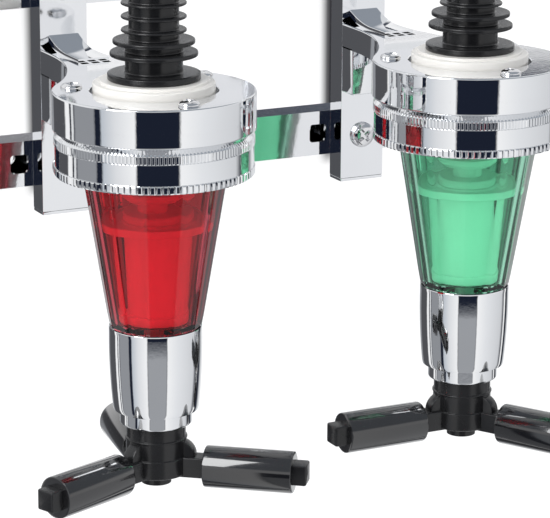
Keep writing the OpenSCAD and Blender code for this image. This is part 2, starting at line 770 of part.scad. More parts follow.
// Clear tinted chamber with flat sides
module chamber(side) {
    groove_z = body_z - spigot_len / 2;
    color(chamber_tones[side]) at_station(side) difference() {
        union() {
            translate([0, 0, body_z])
                cylinder(d1 = chamber_bottom_d, d2 = chamber_top_d, h = chamber_h, $fn = chamber_sides);
            bar(neck_d / 2 - seat_gap, flange_z, gasket_z);
            bar(spigot_d / 2, spigot_z, body_z);
        }
        cone(cavity_bottom_r, cavity_top_r, floor_z, flange_z);
        bar(cavity_top_r, flange_z - seat_gap, gasket_z + over);
        bar(drain_d / 2, spigot_z - over, floor_z + over);
        tube(spigot_d / 2 + over, spigot_d / 2 - seal_wire_d + seat_gap / 2,
             groove_z - seal_wire_d / 2 - seat_gap, groove_z + seal_wire_d / 2 + seat_gap);
    }
}

// White insert that makes the measure: flange, tapered cup and foot ring
module measure_insert(side) {
    flange_low_z = insert_z - insert_flange_t;
    foot_top_z = floor_z + cup_foot_h;
    color(white_tone) at_station(side) difference() {
        union() {
            bar(cavity_r(flange_low_z) - seat_gap, flange_low_z, insert_z);
            cone(cup_bottom_d / 2, cup_top_d / 2, floor_z, flange_low_z);
            bar(cup_foot_d / 2, floor_z, foot_top_z);
        }
        cone(cup_bottom_d / 2 - cup_wall, cup_top_d / 2 - cup_wall, floor_z, insert_z);
    }
}

// Rubber disc that shuts the inlet at the top of the stroke
module inlet_valve(side) {
    bevel = inlet_valve_t / 4;
    valve_r = inlet_valve_d / 2;
    color(black_tone) at_station(side) difference() {
        union() {
            cone(valve_r - bevel, valve_r, inlet_valve_z, inlet_valve_z + bevel);
            bar(valve_r, inlet_valve_z + bevel, valve_top_z - bevel);
            cone(valve_r, valve_r - bevel, valve_top_z - bevel, valve_top_z);
        }
        bar(rod_r + seat_gap, inlet_valve_z - over, valve_top_z + over);
    }
}

// Rubber disc that rests on the insert's mouth
module outlet_valve(side) {
    bevel = outlet_valve_t / 4;
    valve_r = outlet_valve_d / 2;
    color(black_tone) at_station(side) difference() {
        union() {
            bar(valve_r, insert_z, outlet_valve_z - bevel);
            cone(valve_r, valve_r - bevel, outlet_valve_z - bevel, outlet_valve_z);
        }
        bar(rod_r + seat_gap, insert_z - over, outlet_valve_z + over);
    }
}

// Rod that carries both valves, with shoulders above and below them
module valve_rod(side) {
    color(ivory_tone) at_station(side) {
        bar(rod_r, nozzle_top_z - rod_in_nozzle, valve_top_z + rod_head_h);
        bar(rod_head_d / 2, valve_top_z, valve_top_z + rod_head_h);
        bar(rod_head_d / 2, outlet_valve_z, inlet_valve_z);
        bar(rod_head_d / 2, insert_z - rod_head_h, insert_z);
    }
}

// Pouring tube with its spring seat, drain ports and clip groove
module pouring_tube(side) {
    rod_end_z = nozzle_top_z - rod_in_nozzle;
    groove_r = nozzle_r - clip_h / 2;
    color(black_tone) at_station(side) difference() {
        union() {
            bar(nozzle_r, nozzle_z, nozzle_top_z);
            bar(spring_seat_d / 2, seat_low_z, seat_top_z);
        }
        bar(nozzle_bore_d / 2, nozzle_z - over, rod_end_z);
        bar(rod_r + seat_gap, rod_end_z - over, nozzle_top_z + over);
        for (turn = [0, 90]) rotate(turn)
            translate([-nozzle_d, 0, rod_end_z - port_d]) rotate([0, 90, 0])
                cylinder(d = port_d, h = 2 * nozzle_d);
        tube(nozzle_r + over, groove_r, clip_z - seat_gap, clip_z + clip_h + seat_gap);
    }
}

// Centre line of the return spring, from its lower end up
spring_rings = spring_curls * 8;
spring_low_z = seat_top_z + spring_wire_d / 2;
spring_high_z = spigot_z - spring_wire_d / 2;
spring_rise = (spring_high_z - spring_low_z) / spring_rings;
spring_line = [for (i = [0:spring_rings])
    [spring_d / 2 * cos(45 * i), spring_d / 2 * sin(45 * i), spring_low_z + spring_rise * i]];
spring_slope = atan2(spring_rise, spring_d / 2 * sin(45));
spring_points = [for (i = [0:spring_rings], k = [0:5])
    let (out = [cos(45 * i), sin(45 * i), 0],
         rise = [sin(45 * i) * sin(spring_slope), -cos(45 * i) * sin(spring_slope), cos(spring_slope)])
    spring_line[i] + spring_wire_d / 2 * (cos(60 * k) * out + sin(60 * k) * rise)];
spring_faces = concat(
    [[0, 5, 4, 3, 2, 1]],
    [for (i = [0:spring_rings - 1], k = [0:5], half = [0, 1])
        let (n = (k + 1) % 6)
        half == 0 ? [6 * i + k, 6 * i + n, 6 * i + 6 + n] : [6 * i + k, 6 * i + 6 + n, 6 * i + 6 + k]],
    [[for (k = [0:5]) 6 * spring_rings + k]]);
spring_least_gap = min([for (i = [0:spring_rings - 5], j = [i + 5:spring_rings])
    norm(spring_line[i] - spring_line[j])]) - spring_wire_d;
spring_squeezed_gap = (spring_high_z - spring_low_z - stroke) / spring_curls - spring_wire_d;
echo(spring_least_gap = spring_least_gap, spring_squeezed_gap = spring_squeezed_gap);

// Steel spring that pushes the pouring tube down again
module return_spring(side) {
    color(steel_tone) at_station(side)
        polyhedron(points = spring_points, faces = spring_faces, convexity = 10);
}

// Chromed sleeve under the chamber
module outlet_sleeve(side) {
    mid_z = body_z - sleeve_h / 3;
    color(chrome_tone) at_station(side) difference() {
        union() {
            cone(sleeve_mid_d / 2, sleeve_top_d / 2, mid_z, body_z);
            cone(sleeve_bottom_d / 2, sleeve_mid_d / 2, sleeve_z, mid_z);
        }
        bar(spigot_d / 2 + seat_gap, spigot_z, body_z + over);
        bar(sleeve_bore_d / 2, sleeve_z - over, body_z);
    }
}

// Seal ring in the spigot's groove
module sleeve_seal(side) {
    color(black_tone) at_station(side) translate([0, 0, body_z - spigot_len / 2])
        rotate_extrude() translate([spigot_d / 2 + seat_gap - seal_wire_d / 2, 0]) circle(d = seal_wire_d);
}

// Bush that guides the push hub
module guide_bush(side) {
    color(chrome_tone) at_station(side) difference() {
        union() {
            bar(sleeve_bore_d / 2 - seat_gap, sleeve_z, sleeve_z + bush_inside);
            bar(bush_d / 2, bush_z + bush_bevel, sleeve_z);
            cone(bush_d / 2 - bush_bevel, bush_d / 2, bush_z, bush_z + bush_bevel);
        }
        bar(bush_bore_r, bush_z - over, sleeve_z + bush_inside + over);
    }
}

// Hub with three square arms, pushed up by the rim of a glass
module push_hub(side) {
    bar_top_z = bar_z + arm_bar_w;
    shoulder_h = hub_mid_z - bar_top_z - 2 * seat_gap;
    shoulder_w = arm_bar_w * 0.64;
    arm_root_r = (clip_d + clip_h) / 2;
    color(black_tone) at_station(side) difference() {
        union() {
            bar(hub_barrel_d / 2, bead_z, barrel_top_z);
            bar(hub_bead_d / 2, hub_mid_z, bead_z);
            bar(hub_mid_d / 2, hub_low_z, hub_mid_z);
            bar(hub_low_d / 2, hub_z, hub_low_z);
            for (turn = [0, 120, 240]) rotate(hub_turns[side] + turn) {
                translate([arm_root_r, -arm_bar_w / 2, bar_z])
                    cube([arm_tip_r - arm_root_r, arm_bar_w, arm_bar_w]);
                translate([shoulder_r - shoulder_h, shoulder_w / 2, bar_top_z]) rotate([90, 0, 0])
                    cylinder(r = shoulder_h, h = shoulder_w);
            }
        }
        bar(nozzle_r + run_gap, hub_z - over, barrel_top_z + over);
    }
}

// Three soft grips, pushed onto the square arms
module arm_grips(side) {
    grip_r = grip_d / 2;
    bevel = grip_d / 10;
    color(black_tone) at_station(side)
        for (turn = [0, 120, 240]) rotate(hub_turns[side] + turn)
            translate([grip_start_r, 0, bar_z + arm_bar_w / 2]) rotate([0, 90, 0]) difference() {
                union() {
                    cone(grip_r - bevel, grip_r, 0, bevel);
                    bar(grip_r, bevel, grip_len - bevel);
                    cone(grip_r, grip_r - bevel, grip_len - bevel, grip_len);
                }
                translate([-arm_bar_w / 2 - seat_gap, -arm_bar_w / 2 - seat_gap, -over])
                    cube([arm_bar_w + 2 * seat_gap, arm_bar_w + 2 * seat_gap, grip_len + 2 * over]);
            }
}

// Open clip that keeps the hub on the pouring tube
module hub_clip(side) {
    groove_r = nozzle_r - clip_h / 2;
    color(steel_tone) at_station(side) difference() {
        tube(clip_d / 2, groove_r + seat_gap / 2, clip_z, clip_z + clip_h);
        rotate(hub_turns[side]) translate([0, -groove_r / 2, clip_z - over])
            cube([clip_d, groove_r, clip_h + 2 * over]);
    }
}

// Heights of the bottle holder at a station
holder_low_z = pad_z + pad_t;
slider_z = holder_low_z + holder_arm_h / 2 - slider_h / 2;

// Slider with its arm and boss, above the bottle
module holder_slider(side) {
    inner_w = column_w + 2 * slider_gap;
    inner_d = column_d + 2 * slider_gap;
    front_y = reach - slider_gap - slider_wall;
    color(black_tone) at_station(side) difference() {
        union() {
            translate([-inner_w / 2 - slider_wall, front_y, slider_z])
                cube([inner_w + 2 * slider_wall, inner_d + 2 * slider_wall, slider_h]);
            translate([-holder_arm_w / 2, 0, holder_low_z])
                cube([holder_arm_w, front_y + slider_wall / 2, holder_arm_h]);
            bar(holder_boss_d / 2, holder_low_z, holder_low_z + holder_arm_h);
        }
        translate([-inner_w / 2, reach - slider_gap, slider_z - over])
            cube([inner_w, inner_d, slider_h + 2 * over]);
        bar(pad_stem_d / 2 + seat_gap, holder_low_z - over, holder_low_z + holder_arm_h + over);
        translate([inner_w / 2 - over, reach + column_d / 2, slider_z + slider_h / 2]) rotate([0, 90, 0])
            cylinder(r = thumb_screw_d / 2 + run_gap, h = slider_wall + 2 * over);
    }
}

// Rubber pad that rests on the bottle's base
module holder_pad(side) {
    pad_r = pad_d / 2;
    color(black_tone) at_station(side) difference() {
        union() {
            bar(pad_r, pad_z, holder_low_z - pad_t / 3);
            cone(pad_r, holder_boss_d / 2, holder_low_z - pad_t / 3, holder_low_z);
            bar(pad_stem_d / 2, holder_low_z - pad_t / 3, holder_low_z + holder_arm_h + pad_stem_d / 4);
            cone(pad_stem_d / 2 + pad_stem_d / 4, pad_stem_d / 2, holder_low_z + holder_arm_h,
                 holder_low_z + holder_arm_h + pad_stem_d / 2);
        }
        bar(pad_r - pad_rim, pad_z - over, pad_z + pad_hollow);
    }
}

// Fluted thumb screw that clamps the slider on its column
module thumb_screw(side) {
    knob_r = knob_d / 2;
    flute_r = knob_d * 0.08;
    shank_l = slider_gap + slider_wall;
    color(black_tone) at_station(side)
        translate([column_w / 2 + slider_gap / 2, reach + column_d / 2, slider_z + slider_h / 2])
            rotate([0, 90, 0]) {
                bar(thumb_screw_d / 2, 0, shank_l + knob_l / 2);
                difference() {
                    union() {
                        bar(knob_r, shank_l, shank_l + knob_l - flute_r);
                        cone(knob_r, knob_r - flute_r, shank_l + knob_l - flute_r, shank_l + knob_l);
                    }
                    for (i = [0:knob_flutes - 1]) rotate(360 / knob_flutes * i)
                        translate([knob_r, 0, 0]) bar(flute_r, shank_l - over, shank_l + knob_l + over);
                }
            }
}

rail(0);  // lower_rail
rail(1);  // upper_rail
rail_end_caps();
rail_nuts();
column_screws();
bracket_screws();
column_end_caps();
column(0);  // column_left
column(1);  // column_right
bracket(0);  // bracket_left
bracket(1);  // bracket_right
neck_ring(0);  // neck_ring_left
neck_ring(1);  // neck_ring_right
ring_screws(0);  // ring_screws_left
ring_screws(1);  // ring_screws_right
inlet_collar(0);  // inlet_collar_left
inlet_collar(1);  // inlet_collar_right
bottle_stopper(0);  // bottle_stopper_left
bottle_stopper(1);  // bottle_stopper_right
air_tube(0);  // air_tube_left
air_tube(1);  // air_tube_right
locking_nut(0);  // locking_nut_left
locking_nut(1);  // locking_nut_right
chamber_gasket(0);  // chamber_gasket_left
chamber_gasket(1);  // chamber_gasket_right
chamber(0);  // chamber_left
chamber(1);  // chamber_right
measure_insert(0);  // measure_insert_left
measure_insert(1);  // measure_insert_right
inlet_valve(0);  // inlet_valve_left
inlet_valve(1);  // inlet_valve_right
outlet_valve(0);  // outlet_valve_left
outlet_valve(1);  // outlet_valve_right
valve_rod(0);  // valve_rod_left
valve_rod(1);  // valve_rod_right
pouring_tube(0);  // pouring_tube_left
pouring_tube(1);  // pouring_tube_right
return_spring(0);  // return_spring_left
return_spring(1);  // return_spring_right
outlet_sleeve(0);  // outlet_sleeve_left
outlet_sleeve(1);  // outlet_sleeve_right
sleeve_seal(0);  // sleeve_seal_left
sleeve_seal(1);  // sleeve_seal_right
guide_bush(0);  // guide_bush_left
guide_bush(1);  // guide_bush_right
push_hub(0);  // push_hub_left
push_hub(1);  // push_hub_right
arm_grips(0);  // arm_grips_left
arm_grips(1);  // arm_grips_right
hub_clip(0);  // hub_clip_left
hub_clip(1);  // hub_clip_right
holder_slider(0);  // holder_slider_left
holder_slider(1);  // holder_slider_right
holder_pad(0);  // holder_pad_left
holder_pad(1);  // holder_pad_right
thumb_screw(0);  // thumb_screw_left
thumb_screw(1);  // thumb_screw_right
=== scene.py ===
"""Looks of the wall rack with two shot measures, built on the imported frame.

Sizes are in millimetres inside the classes and turn into metres when a mesh is made.
Station sizes are counted from the middle of a ring's top face.
"""

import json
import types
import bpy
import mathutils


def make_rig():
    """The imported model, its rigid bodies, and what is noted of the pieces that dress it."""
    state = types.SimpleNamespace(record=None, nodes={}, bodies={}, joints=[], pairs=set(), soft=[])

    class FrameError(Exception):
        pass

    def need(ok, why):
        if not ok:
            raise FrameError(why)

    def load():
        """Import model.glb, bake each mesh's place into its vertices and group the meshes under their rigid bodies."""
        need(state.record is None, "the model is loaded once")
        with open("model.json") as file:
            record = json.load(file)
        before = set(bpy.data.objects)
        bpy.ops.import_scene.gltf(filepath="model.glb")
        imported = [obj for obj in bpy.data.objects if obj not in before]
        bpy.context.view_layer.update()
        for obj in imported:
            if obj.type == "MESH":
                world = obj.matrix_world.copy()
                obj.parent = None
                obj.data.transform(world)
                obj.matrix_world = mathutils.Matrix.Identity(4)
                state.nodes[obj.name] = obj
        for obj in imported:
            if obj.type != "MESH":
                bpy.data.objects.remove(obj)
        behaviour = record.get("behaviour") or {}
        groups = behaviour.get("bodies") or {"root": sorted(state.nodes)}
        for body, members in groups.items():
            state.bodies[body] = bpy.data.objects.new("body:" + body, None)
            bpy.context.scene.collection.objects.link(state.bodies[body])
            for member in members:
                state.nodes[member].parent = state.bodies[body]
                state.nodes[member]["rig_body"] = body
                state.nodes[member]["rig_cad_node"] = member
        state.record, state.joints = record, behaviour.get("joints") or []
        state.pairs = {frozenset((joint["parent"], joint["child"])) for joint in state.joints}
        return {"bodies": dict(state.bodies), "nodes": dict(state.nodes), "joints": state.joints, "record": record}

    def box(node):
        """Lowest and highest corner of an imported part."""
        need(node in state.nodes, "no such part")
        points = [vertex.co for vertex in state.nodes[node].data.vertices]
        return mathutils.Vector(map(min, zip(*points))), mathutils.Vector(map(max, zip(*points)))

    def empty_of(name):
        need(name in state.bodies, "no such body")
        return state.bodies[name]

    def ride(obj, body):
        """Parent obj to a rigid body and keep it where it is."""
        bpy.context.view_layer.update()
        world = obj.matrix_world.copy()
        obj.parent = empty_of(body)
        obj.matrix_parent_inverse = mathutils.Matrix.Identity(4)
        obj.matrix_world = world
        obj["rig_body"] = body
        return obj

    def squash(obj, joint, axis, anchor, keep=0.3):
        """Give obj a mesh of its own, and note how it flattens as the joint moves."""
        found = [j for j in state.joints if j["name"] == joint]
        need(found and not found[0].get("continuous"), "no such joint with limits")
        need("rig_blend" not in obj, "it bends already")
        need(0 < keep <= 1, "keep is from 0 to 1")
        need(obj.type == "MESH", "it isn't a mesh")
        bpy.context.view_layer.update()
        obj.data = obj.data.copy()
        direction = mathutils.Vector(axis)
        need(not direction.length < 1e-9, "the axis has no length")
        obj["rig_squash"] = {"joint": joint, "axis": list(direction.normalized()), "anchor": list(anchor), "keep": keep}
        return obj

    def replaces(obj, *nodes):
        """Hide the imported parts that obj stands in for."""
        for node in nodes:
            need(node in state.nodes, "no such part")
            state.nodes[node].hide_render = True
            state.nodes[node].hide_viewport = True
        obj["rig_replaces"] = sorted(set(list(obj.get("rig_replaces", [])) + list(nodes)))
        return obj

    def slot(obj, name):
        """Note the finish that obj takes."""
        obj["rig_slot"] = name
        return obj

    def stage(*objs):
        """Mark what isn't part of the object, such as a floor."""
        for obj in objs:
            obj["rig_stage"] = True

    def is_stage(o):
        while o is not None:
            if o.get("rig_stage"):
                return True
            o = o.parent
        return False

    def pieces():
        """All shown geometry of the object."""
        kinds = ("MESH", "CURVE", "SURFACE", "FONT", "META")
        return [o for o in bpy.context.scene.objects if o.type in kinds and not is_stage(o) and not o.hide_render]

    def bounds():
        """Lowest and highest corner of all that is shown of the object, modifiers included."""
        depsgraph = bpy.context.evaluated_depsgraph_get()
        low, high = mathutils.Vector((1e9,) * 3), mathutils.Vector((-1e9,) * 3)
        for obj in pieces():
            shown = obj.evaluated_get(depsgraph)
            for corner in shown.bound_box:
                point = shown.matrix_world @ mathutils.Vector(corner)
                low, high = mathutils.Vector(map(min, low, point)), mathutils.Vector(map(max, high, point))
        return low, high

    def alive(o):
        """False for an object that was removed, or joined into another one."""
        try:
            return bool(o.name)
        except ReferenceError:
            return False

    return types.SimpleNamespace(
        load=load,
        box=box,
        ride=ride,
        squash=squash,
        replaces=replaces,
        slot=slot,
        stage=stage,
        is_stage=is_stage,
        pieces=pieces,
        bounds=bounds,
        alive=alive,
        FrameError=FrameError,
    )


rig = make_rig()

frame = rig.load()

import json
import logging
import math
from contextlib import contextmanager
from dataclasses import dataclass, field
from enum import Enum
from typing import Callable, ClassVar, Iterable, Iterator, Sequence

import bmesh
import bpy
from mathutils import Matrix, Vector

LOG = logging.getLogger("shot_measures")
MM = 0.001
Profile = list[tuple[float, float]]
Corner = tuple[float, float, float]
Rows = Sequence[Sequence[Vector]]
Object = bpy.types.Object
Socket = bpy.types.NodeSocket
EditMesh = bmesh.types.BMesh
Point = bmesh.types.BMVert
Colour = tuple[float, float, float]


class Side(Enum):
    """Which station a piece belongs to."""

    LEFT = "left"
    RIGHT = "right"


class Tint(Enum):
    """Colours that the clear chambers come in."""

    RED = (0.82, 0.1, 0.14)
    GREEN = (0.44, 0.91, 0.68)


# Node helpers


class NodeBook:
    """Builds shader node trees with short calls."""

    def __init__(self, tree: bpy.types.NodeTree) -> None:
        """Keeps the tree that nodes are added to."""
        self.tree = tree

    def add(self, kind: str, values: dict | None = None, **settings) -> bpy.types.Node:
        """Adds a node.

        Args:
            kind: Blender's node type name without "ShaderNode" in front.
            values: input socket name or number to a constant or another socket.
            **settings: attributes of the node itself.

        Returns:
            The new node.
        """
        node = self.tree.nodes.new("ShaderNode" + kind)
        for name, value in settings.items():
            setattr(node, name, value)
        for key, value in (values or {}).items():
            socket = node.inputs[key]
            if isinstance(value, Socket):
                self.tree.links.new(value, socket)
            else:
                socket.default_value = value
        return node

    def math(self, operation: str, a, b=0.0) -> Socket:
        """Adds a Math node and returns its output."""
        return self.add("Math", {0: a, 1: b}, operation=operation).outputs[0]

    def noise(self, place, scale, detail: float) -> Socket:
        """Adds a noise texture and returns its value."""
        return self.add("TexNoise", {"Vector": place, "Scale": scale, "Detail": detail}).outputs[0]

    def clamp(self, a) -> Socket:
        """Keeps a value between 0 and 1."""
        return self.math("MINIMUM", self.math("MAXIMUM", a, 0.0), 1.0)

    def ramp(self, factor, stops: Sequence[tuple[float, float | Colour]]) -> Socket:
        """Adds a colour ramp.

        Args:
            factor: socket that drives the ramp.
            stops: places from 0 to 1, each with a colour or a grey.

        Returns:
            The ramp's colour output.
        """
        node = self.add("ValToRGB", {0: factor})
        ramp = node.color_ramp
        while len(ramp.elements) < len(stops):
            ramp.elements.new(0.5)
        for element, (place, tone) in zip(ramp.elements, stops):
            element.position = place
            element.color = (*(tone if isinstance(tone, tuple) else (tone,) * 3), 1.0)
        return node.outputs[0]

    def blend(self, share, first, second) -> Socket:
        """Mixes two colours.

        Args:
            share: socket with the second colour's share.
            first: colour or socket.
            second: colour or socket.

        Returns:
            The mixed colour.
        """
        mix = self.add("Mix", {0: share}, data_type="RGBA")
        for place, value in ((6, first), (7, second)):
            if isinstance(value, Socket):
                self.tree.links.new(value, mix.inputs[place])
            else:
                mix.inputs[place].default_value = (*value, 1.0)
        return mix.outputs[2]


def new_group(name: str, inputs: dict[str, float], outputs: dict[str, str]) -> tuple:
    """Makes a shader node group with named sockets.

    Args:
        name: the group's name.
        inputs: number inputs and their defaults.
        outputs: output name to socket type.

    Returns:
        The group, its NodeBook, its input node and its output node.
    """
    group = bpy.data.node_groups.new(name, "ShaderNodeTree")
    for key, value in inputs.items():
        socket = group.interface.new_socket(key, in_out="INPUT", socket_type="NodeSocketFloat")
        socket.default_value = value
    for key, kind in outputs.items():
        group.interface.new_socket(key, in_out="OUTPUT", socket_type=kind)
    book = NodeBook(group)
    return group, book, group.nodes.new("NodeGroupInput"), group.nodes.new("NodeGroupOutput")


def make_moulding_group() -> bpy.types.NodeTree:
    """Group with the soft unevenness of moulded or plated surfaces.

    Returns:
        A group that puts out Roughness, Height and Shade.
    """
    group, book, inp, out = new_group(
        "surface_unevenness",
        {"Grain": 300.0, "Flow": 40.0, "Roughness": 0.1, "Spread": 0.05},
        {"Roughness": "NodeSocketFloat", "Height": "NodeSocketFloat", "Shade": "NodeSocketFloat"},
    )
    place = book.add("TexCoord").outputs["Object"]
    grain = book.noise(place, inp.outputs["Grain"], 3.0)
    flow = book.noise(place, inp.outputs["Flow"], 2.0)
    centred = book.math("SUBTRACT", grain, 0.5)
    spread = book.math("MULTIPLY", centred, inp.outputs["Spread"])
    rough = book.math("ADD", inp.outputs["Roughness"], spread)
    height = book.math("ADD", grain, book.math("MULTIPLY", flow, 2.0))
    group.links.new(book.math("MAXIMUM", rough, 0.01), out.inputs["Roughness"])
    group.links.new(height, out.inputs["Height"])
    group.links.new(flow, out.inputs["Shade"])
    return group


def make_dust_group() -> bpy.types.NodeTree:
    """Group with the fine dust and wipe marks that lie on upward faces.

    Returns:
        A group that puts out a Mask from 0 to 1.
    """
    group, book, inp, out = new_group(
        "settled_dust", {"Scale": 900.0, "Amount": 0.15}, {"Mask": "NodeSocketFloat"}
    )
    place = book.add("TexCoord").outputs["Object"]
    up = book.add("SeparateXYZ", {0: book.add("NewGeometry").outputs["Normal"]})
    specks = book.noise(place, inp.outputs["Scale"], 2.0)
    lifted = book.math("MAXIMUM", up.outputs[2], 0.0)
    spotted = book.math("MULTIPLY", lifted, specks)
    mask = book.math("MULTIPLY", spotted, inp.outputs["Amount"])
    group.links.new(mask, out.inputs["Mask"])
    return group


# Finishes


@dataclass(frozen=True)
class Finish:
    """A surface finish and the record's slot that it belongs to.

    The colour is linear. grain and flow are noise scales per metre, and bump is
    the depth of the relief in metres.
    """

    name: str
    slot: str
    colour: Colour
    roughness: float
    spread: float = 0.04
    metallic: float = 0.0
    grain: float = 900.0
    flow: float = 60.0
    bump: float = 0.00001
    shade_span: float = 0.08
    dust: float = 0.0
    coat: float = 0.0
    coat_ior: float = 1.5
    clear: bool = False
    ior: float = 1.46
    dust_colour: Colour = (0.6, 0.6, 0.62)
    coat_roughness: float = 0.04

    def build(self, groups: "GroupShelf") -> bpy.types.Material:
        """Makes the material.

        Args:
            groups: the shared node groups.

        Returns:
            The new material.
        """
        material = bpy.data.materials.new(self.name)
        material.use_nodes = True
        material.diffuse_color = (*self.colour, 1.0)
        book = NodeBook(material.node_tree)
        shader = next(n for n in material.node_tree.nodes if n.type == "BSDF_PRINCIPLED")
        uneven = book.add("Group", node_tree=groups.moulding)
        for key, value in {"Grain": self.grain, "Flow": self.flow,
                           "Roughness": self.roughness, "Spread": self.spread}.items():
            uneven.inputs[key].default_value = value
        low = tuple(c * (1.0 - self.shade_span) for c in self.colour)
        high = tuple(min(1.0, c * (1.0 + self.shade_span)) for c in self.colour)
        colour = book.ramp(uneven.outputs["Shade"], [(0.3, low), (0.7, high)])
        rough = uneven.outputs["Roughness"]
        if self.dust > 0.0:
            dust = book.add("Group", node_tree=groups.dust)
            dust.inputs["Amount"].default_value = self.dust
            colour = book.blend(dust.outputs["Mask"], colour, self.dust_colour)
            rough = book.math("ADD", rough, dust.outputs["Mask"])
        bump = book.add("Bump", {"Height": uneven.outputs["Height"], "Strength": 1.0,
                                 "Distance": self.bump})
        for key, value in (("Base Color", colour), ("Roughness", rough),
                           ("Normal", bump.outputs["Normal"])):
            book.tree.links.new(value, shader.inputs[key])
        shader.inputs["Metallic"].default_value = self.metallic
        shader.inputs["IOR"].default_value = self.ior
        if self.coat > 0.0:
            shader.inputs["Coat Weight"].default_value = self.coat
            shader.inputs["Coat Roughness"].default_value = self.coat_roughness
            shader.inputs["Coat IOR"].default_value = self.coat_ior
        if self.clear:
            shader.inputs["Transmission Weight"].default_value = 1.0
        return material


@dataclass
class GroupShelf:
    """The shared node groups, built once."""

    moulding: bpy.types.NodeTree = field(default_factory=make_moulding_group)
    dust: bpy.types.NodeTree = field(default_factory=make_dust_group)


class Finishes:
    """All finishes of the rack and its stations, each made once."""

    CHROME = Finish("plated_chrome", "chrome", (0.86, 0.87, 0.885), 0.035, 0.02, 1.0,
                    700.0, 45.0, 0.000006, 0.02, 0.03)
    PROFILE = Finish("plated_profile", "chrome", (0.84, 0.85, 0.87), 0.05, 0.03, 1.0,
                     500.0, 30.0, 0.000006, 0.02, 0.03)
    STEEL = Finish("turned_steel", "screw_steel", (0.62, 0.63, 0.65), 0.2, 0.1, 1.0,
                   1500.0, 200.0, 0.00001, 0.06, 0.02)
    SCREW = Finish("plated_screw", "screw_steel", (0.8, 0.8, 0.81), 0.12, 0.06, 1.0,
                   1500.0, 200.0, 0.00001, 0.04, 0.02)
    BLACK = Finish("black_moulding", "black_plastic", (0.012, 0.012, 0.013), 0.24, 0.08, 0.0,
                   1500.0, 80.0, 0.000008, 0.2, 0.02)
    GLOSS = Finish("glossy_grip", "gloss_black", (0.008, 0.008, 0.009), 0.13, 0.05, 0.0,
                   900.0, 60.0, 0.00001, 0.2, 0.01, 1.0, 1.6)
    IVORY = Finish("ivory_moulding", "ivory_plastic", (0.84, 0.815, 0.77), 0.3, 0.06, 0.0,
                   1800.0, 40.0, 0.000005, 0.012, 0.0, 0.2)
    WHITE = Finish("white_moulding", "white_plastic", (0.88, 0.88, 0.86), 0.3, 0.06, 0.0,
                   1200.0, 60.0, 0.000006, 0.02)
    RUBBER = Finish("black_rubber", "black_rubber", (0.009, 0.009, 0.01), 0.24, 0.1, 0.0,
                    1800.0, 90.0, 0.00001, 0.2, 0.02)
    RED = Finish("clear_red", "red_clear", Tint.RED.value, 0.02, 0.01, 0.0,
                 500.0, 40.0, 0.000004, 0.02, clear=True)
    GREEN = Finish("clear_green", "green_clear", Tint.GREEN.value, 0.02, 0.01, 0.0,
                   500.0, 40.0, 0.000004, 0.02, clear=True)

    def __init__(self) -> None:
        """Starts with the shared groups and no materials."""
        self.groups = GroupShelf()
        self.made: dict[str, bpy.types.Material] = {}

    def material(self, finish: Finish) -> bpy.types.Material:
        """Returns the material of a finish, made on first use."""
        if finish.name not in self.made:
            self.made[finish.name] = finish.build(self.groups)
        return self.made[finish.name]

    def dress_node(self, node: str, finish: Finish) -> None:
        """Gives a CAD node that stays visible its finish."""
        target = frame["nodes"][node]
        for slot in target.material_slots:
            slot.material = self.material(finish)
        if not target.material_slots:
            target.data.materials.append(self.material(finish))


# Mesh helpers


def linked(name: str, data) -> Object:
    """Makes an object of the data, links it to the scene and returns it."""
    made = bpy.data.objects.new(name, data)
    bpy.context.scene.collection.objects.link(made)
    return made


@contextmanager
def editing(data: bpy.types.Mesh) -> Iterator[EditMesh]:
    """Opens a mesh for editing and writes it back at the end.

    Args:
        data: the mesh.

    Yields:
        The mesh to edit.
    """
    work = bmesh.new()
    work.from_mesh(data)
    yield work
    work.to_mesh(data)
    work.free()


def rounded(corners: Sequence[Corner], steps: int = 4) -> Profile:
    """Rounds the corners of a closed outline.

    Args:
        corners: outline points with the radius of each corner.
        steps: segments per rounded corner.

    Returns:
        The outline with arcs in place of its corners.
    """
    out: Profile = []
    count = len(corners)
    most, guard = 0.49, 0.12
    for i, (x, y, radius) in enumerate(corners):
        here = Vector((x, y))
        before = Vector(corners[i - 1][:2]) - here
        after = Vector(corners[(i + 1) % count][:2]) - here
        if radius <= 0.0 or before.length < 1e-6 or after.length < 1e-6:
            out.append((x, y))
            continue
        angle = before.angle(after)
        reach = min(radius / math.tan(angle / 2), before.length * most, after.length * most)
        true_radius = reach * math.tan(angle / 2)
        centre = here + (before.normalized() + after.normalized()).normalized() * (
            true_radius / math.sin(angle / 2))
        first = here + before.normalized() * reach - centre
        last = here + after.normalized() * reach - centre
        if before.length * most > reach + guard:
            out.append(tuple(here + before.normalized() * (reach + guard)))
        sweep = max(first.angle(last), 1e-4)
        for k in range(steps + 1):
            turn = sweep * k / steps
            spoke = (first * math.sin(sweep - turn) + last * math.sin(turn)) / math.sin(sweep)
            out.append((centre.x + spoke.x, centre.y + spoke.y))
        if after.length * most > reach + guard:
            out.append(tuple(here + after.normalized() * (reach + guard)))
    return out


def mesh_object(name: str, verts: Sequence, faces: Sequence,
                smooth_deg: float = 28.0) -> Object:
    """Makes an object from points in metres and faces.

    Args:
        name: the object's name.
        verts: points in the row frame.
        faces: lists of point numbers.
        smooth_deg: edges sharper than this stay sharp.

    Returns:
        The linked object.
    """
    data = bpy.data.meshes.new(name)
    data.from_pydata([tuple(v) for v in verts], [], [tuple(f) for f in faces])
    data.validate()
    with editing(data) as work:
        bmesh.ops.remove_doubles(work, verts=work.verts, dist=1e-7)
        bmesh.ops.recalc_face_normals(work, faces=work.faces)
        shade(work, smooth_deg)
    return linked(name, data)


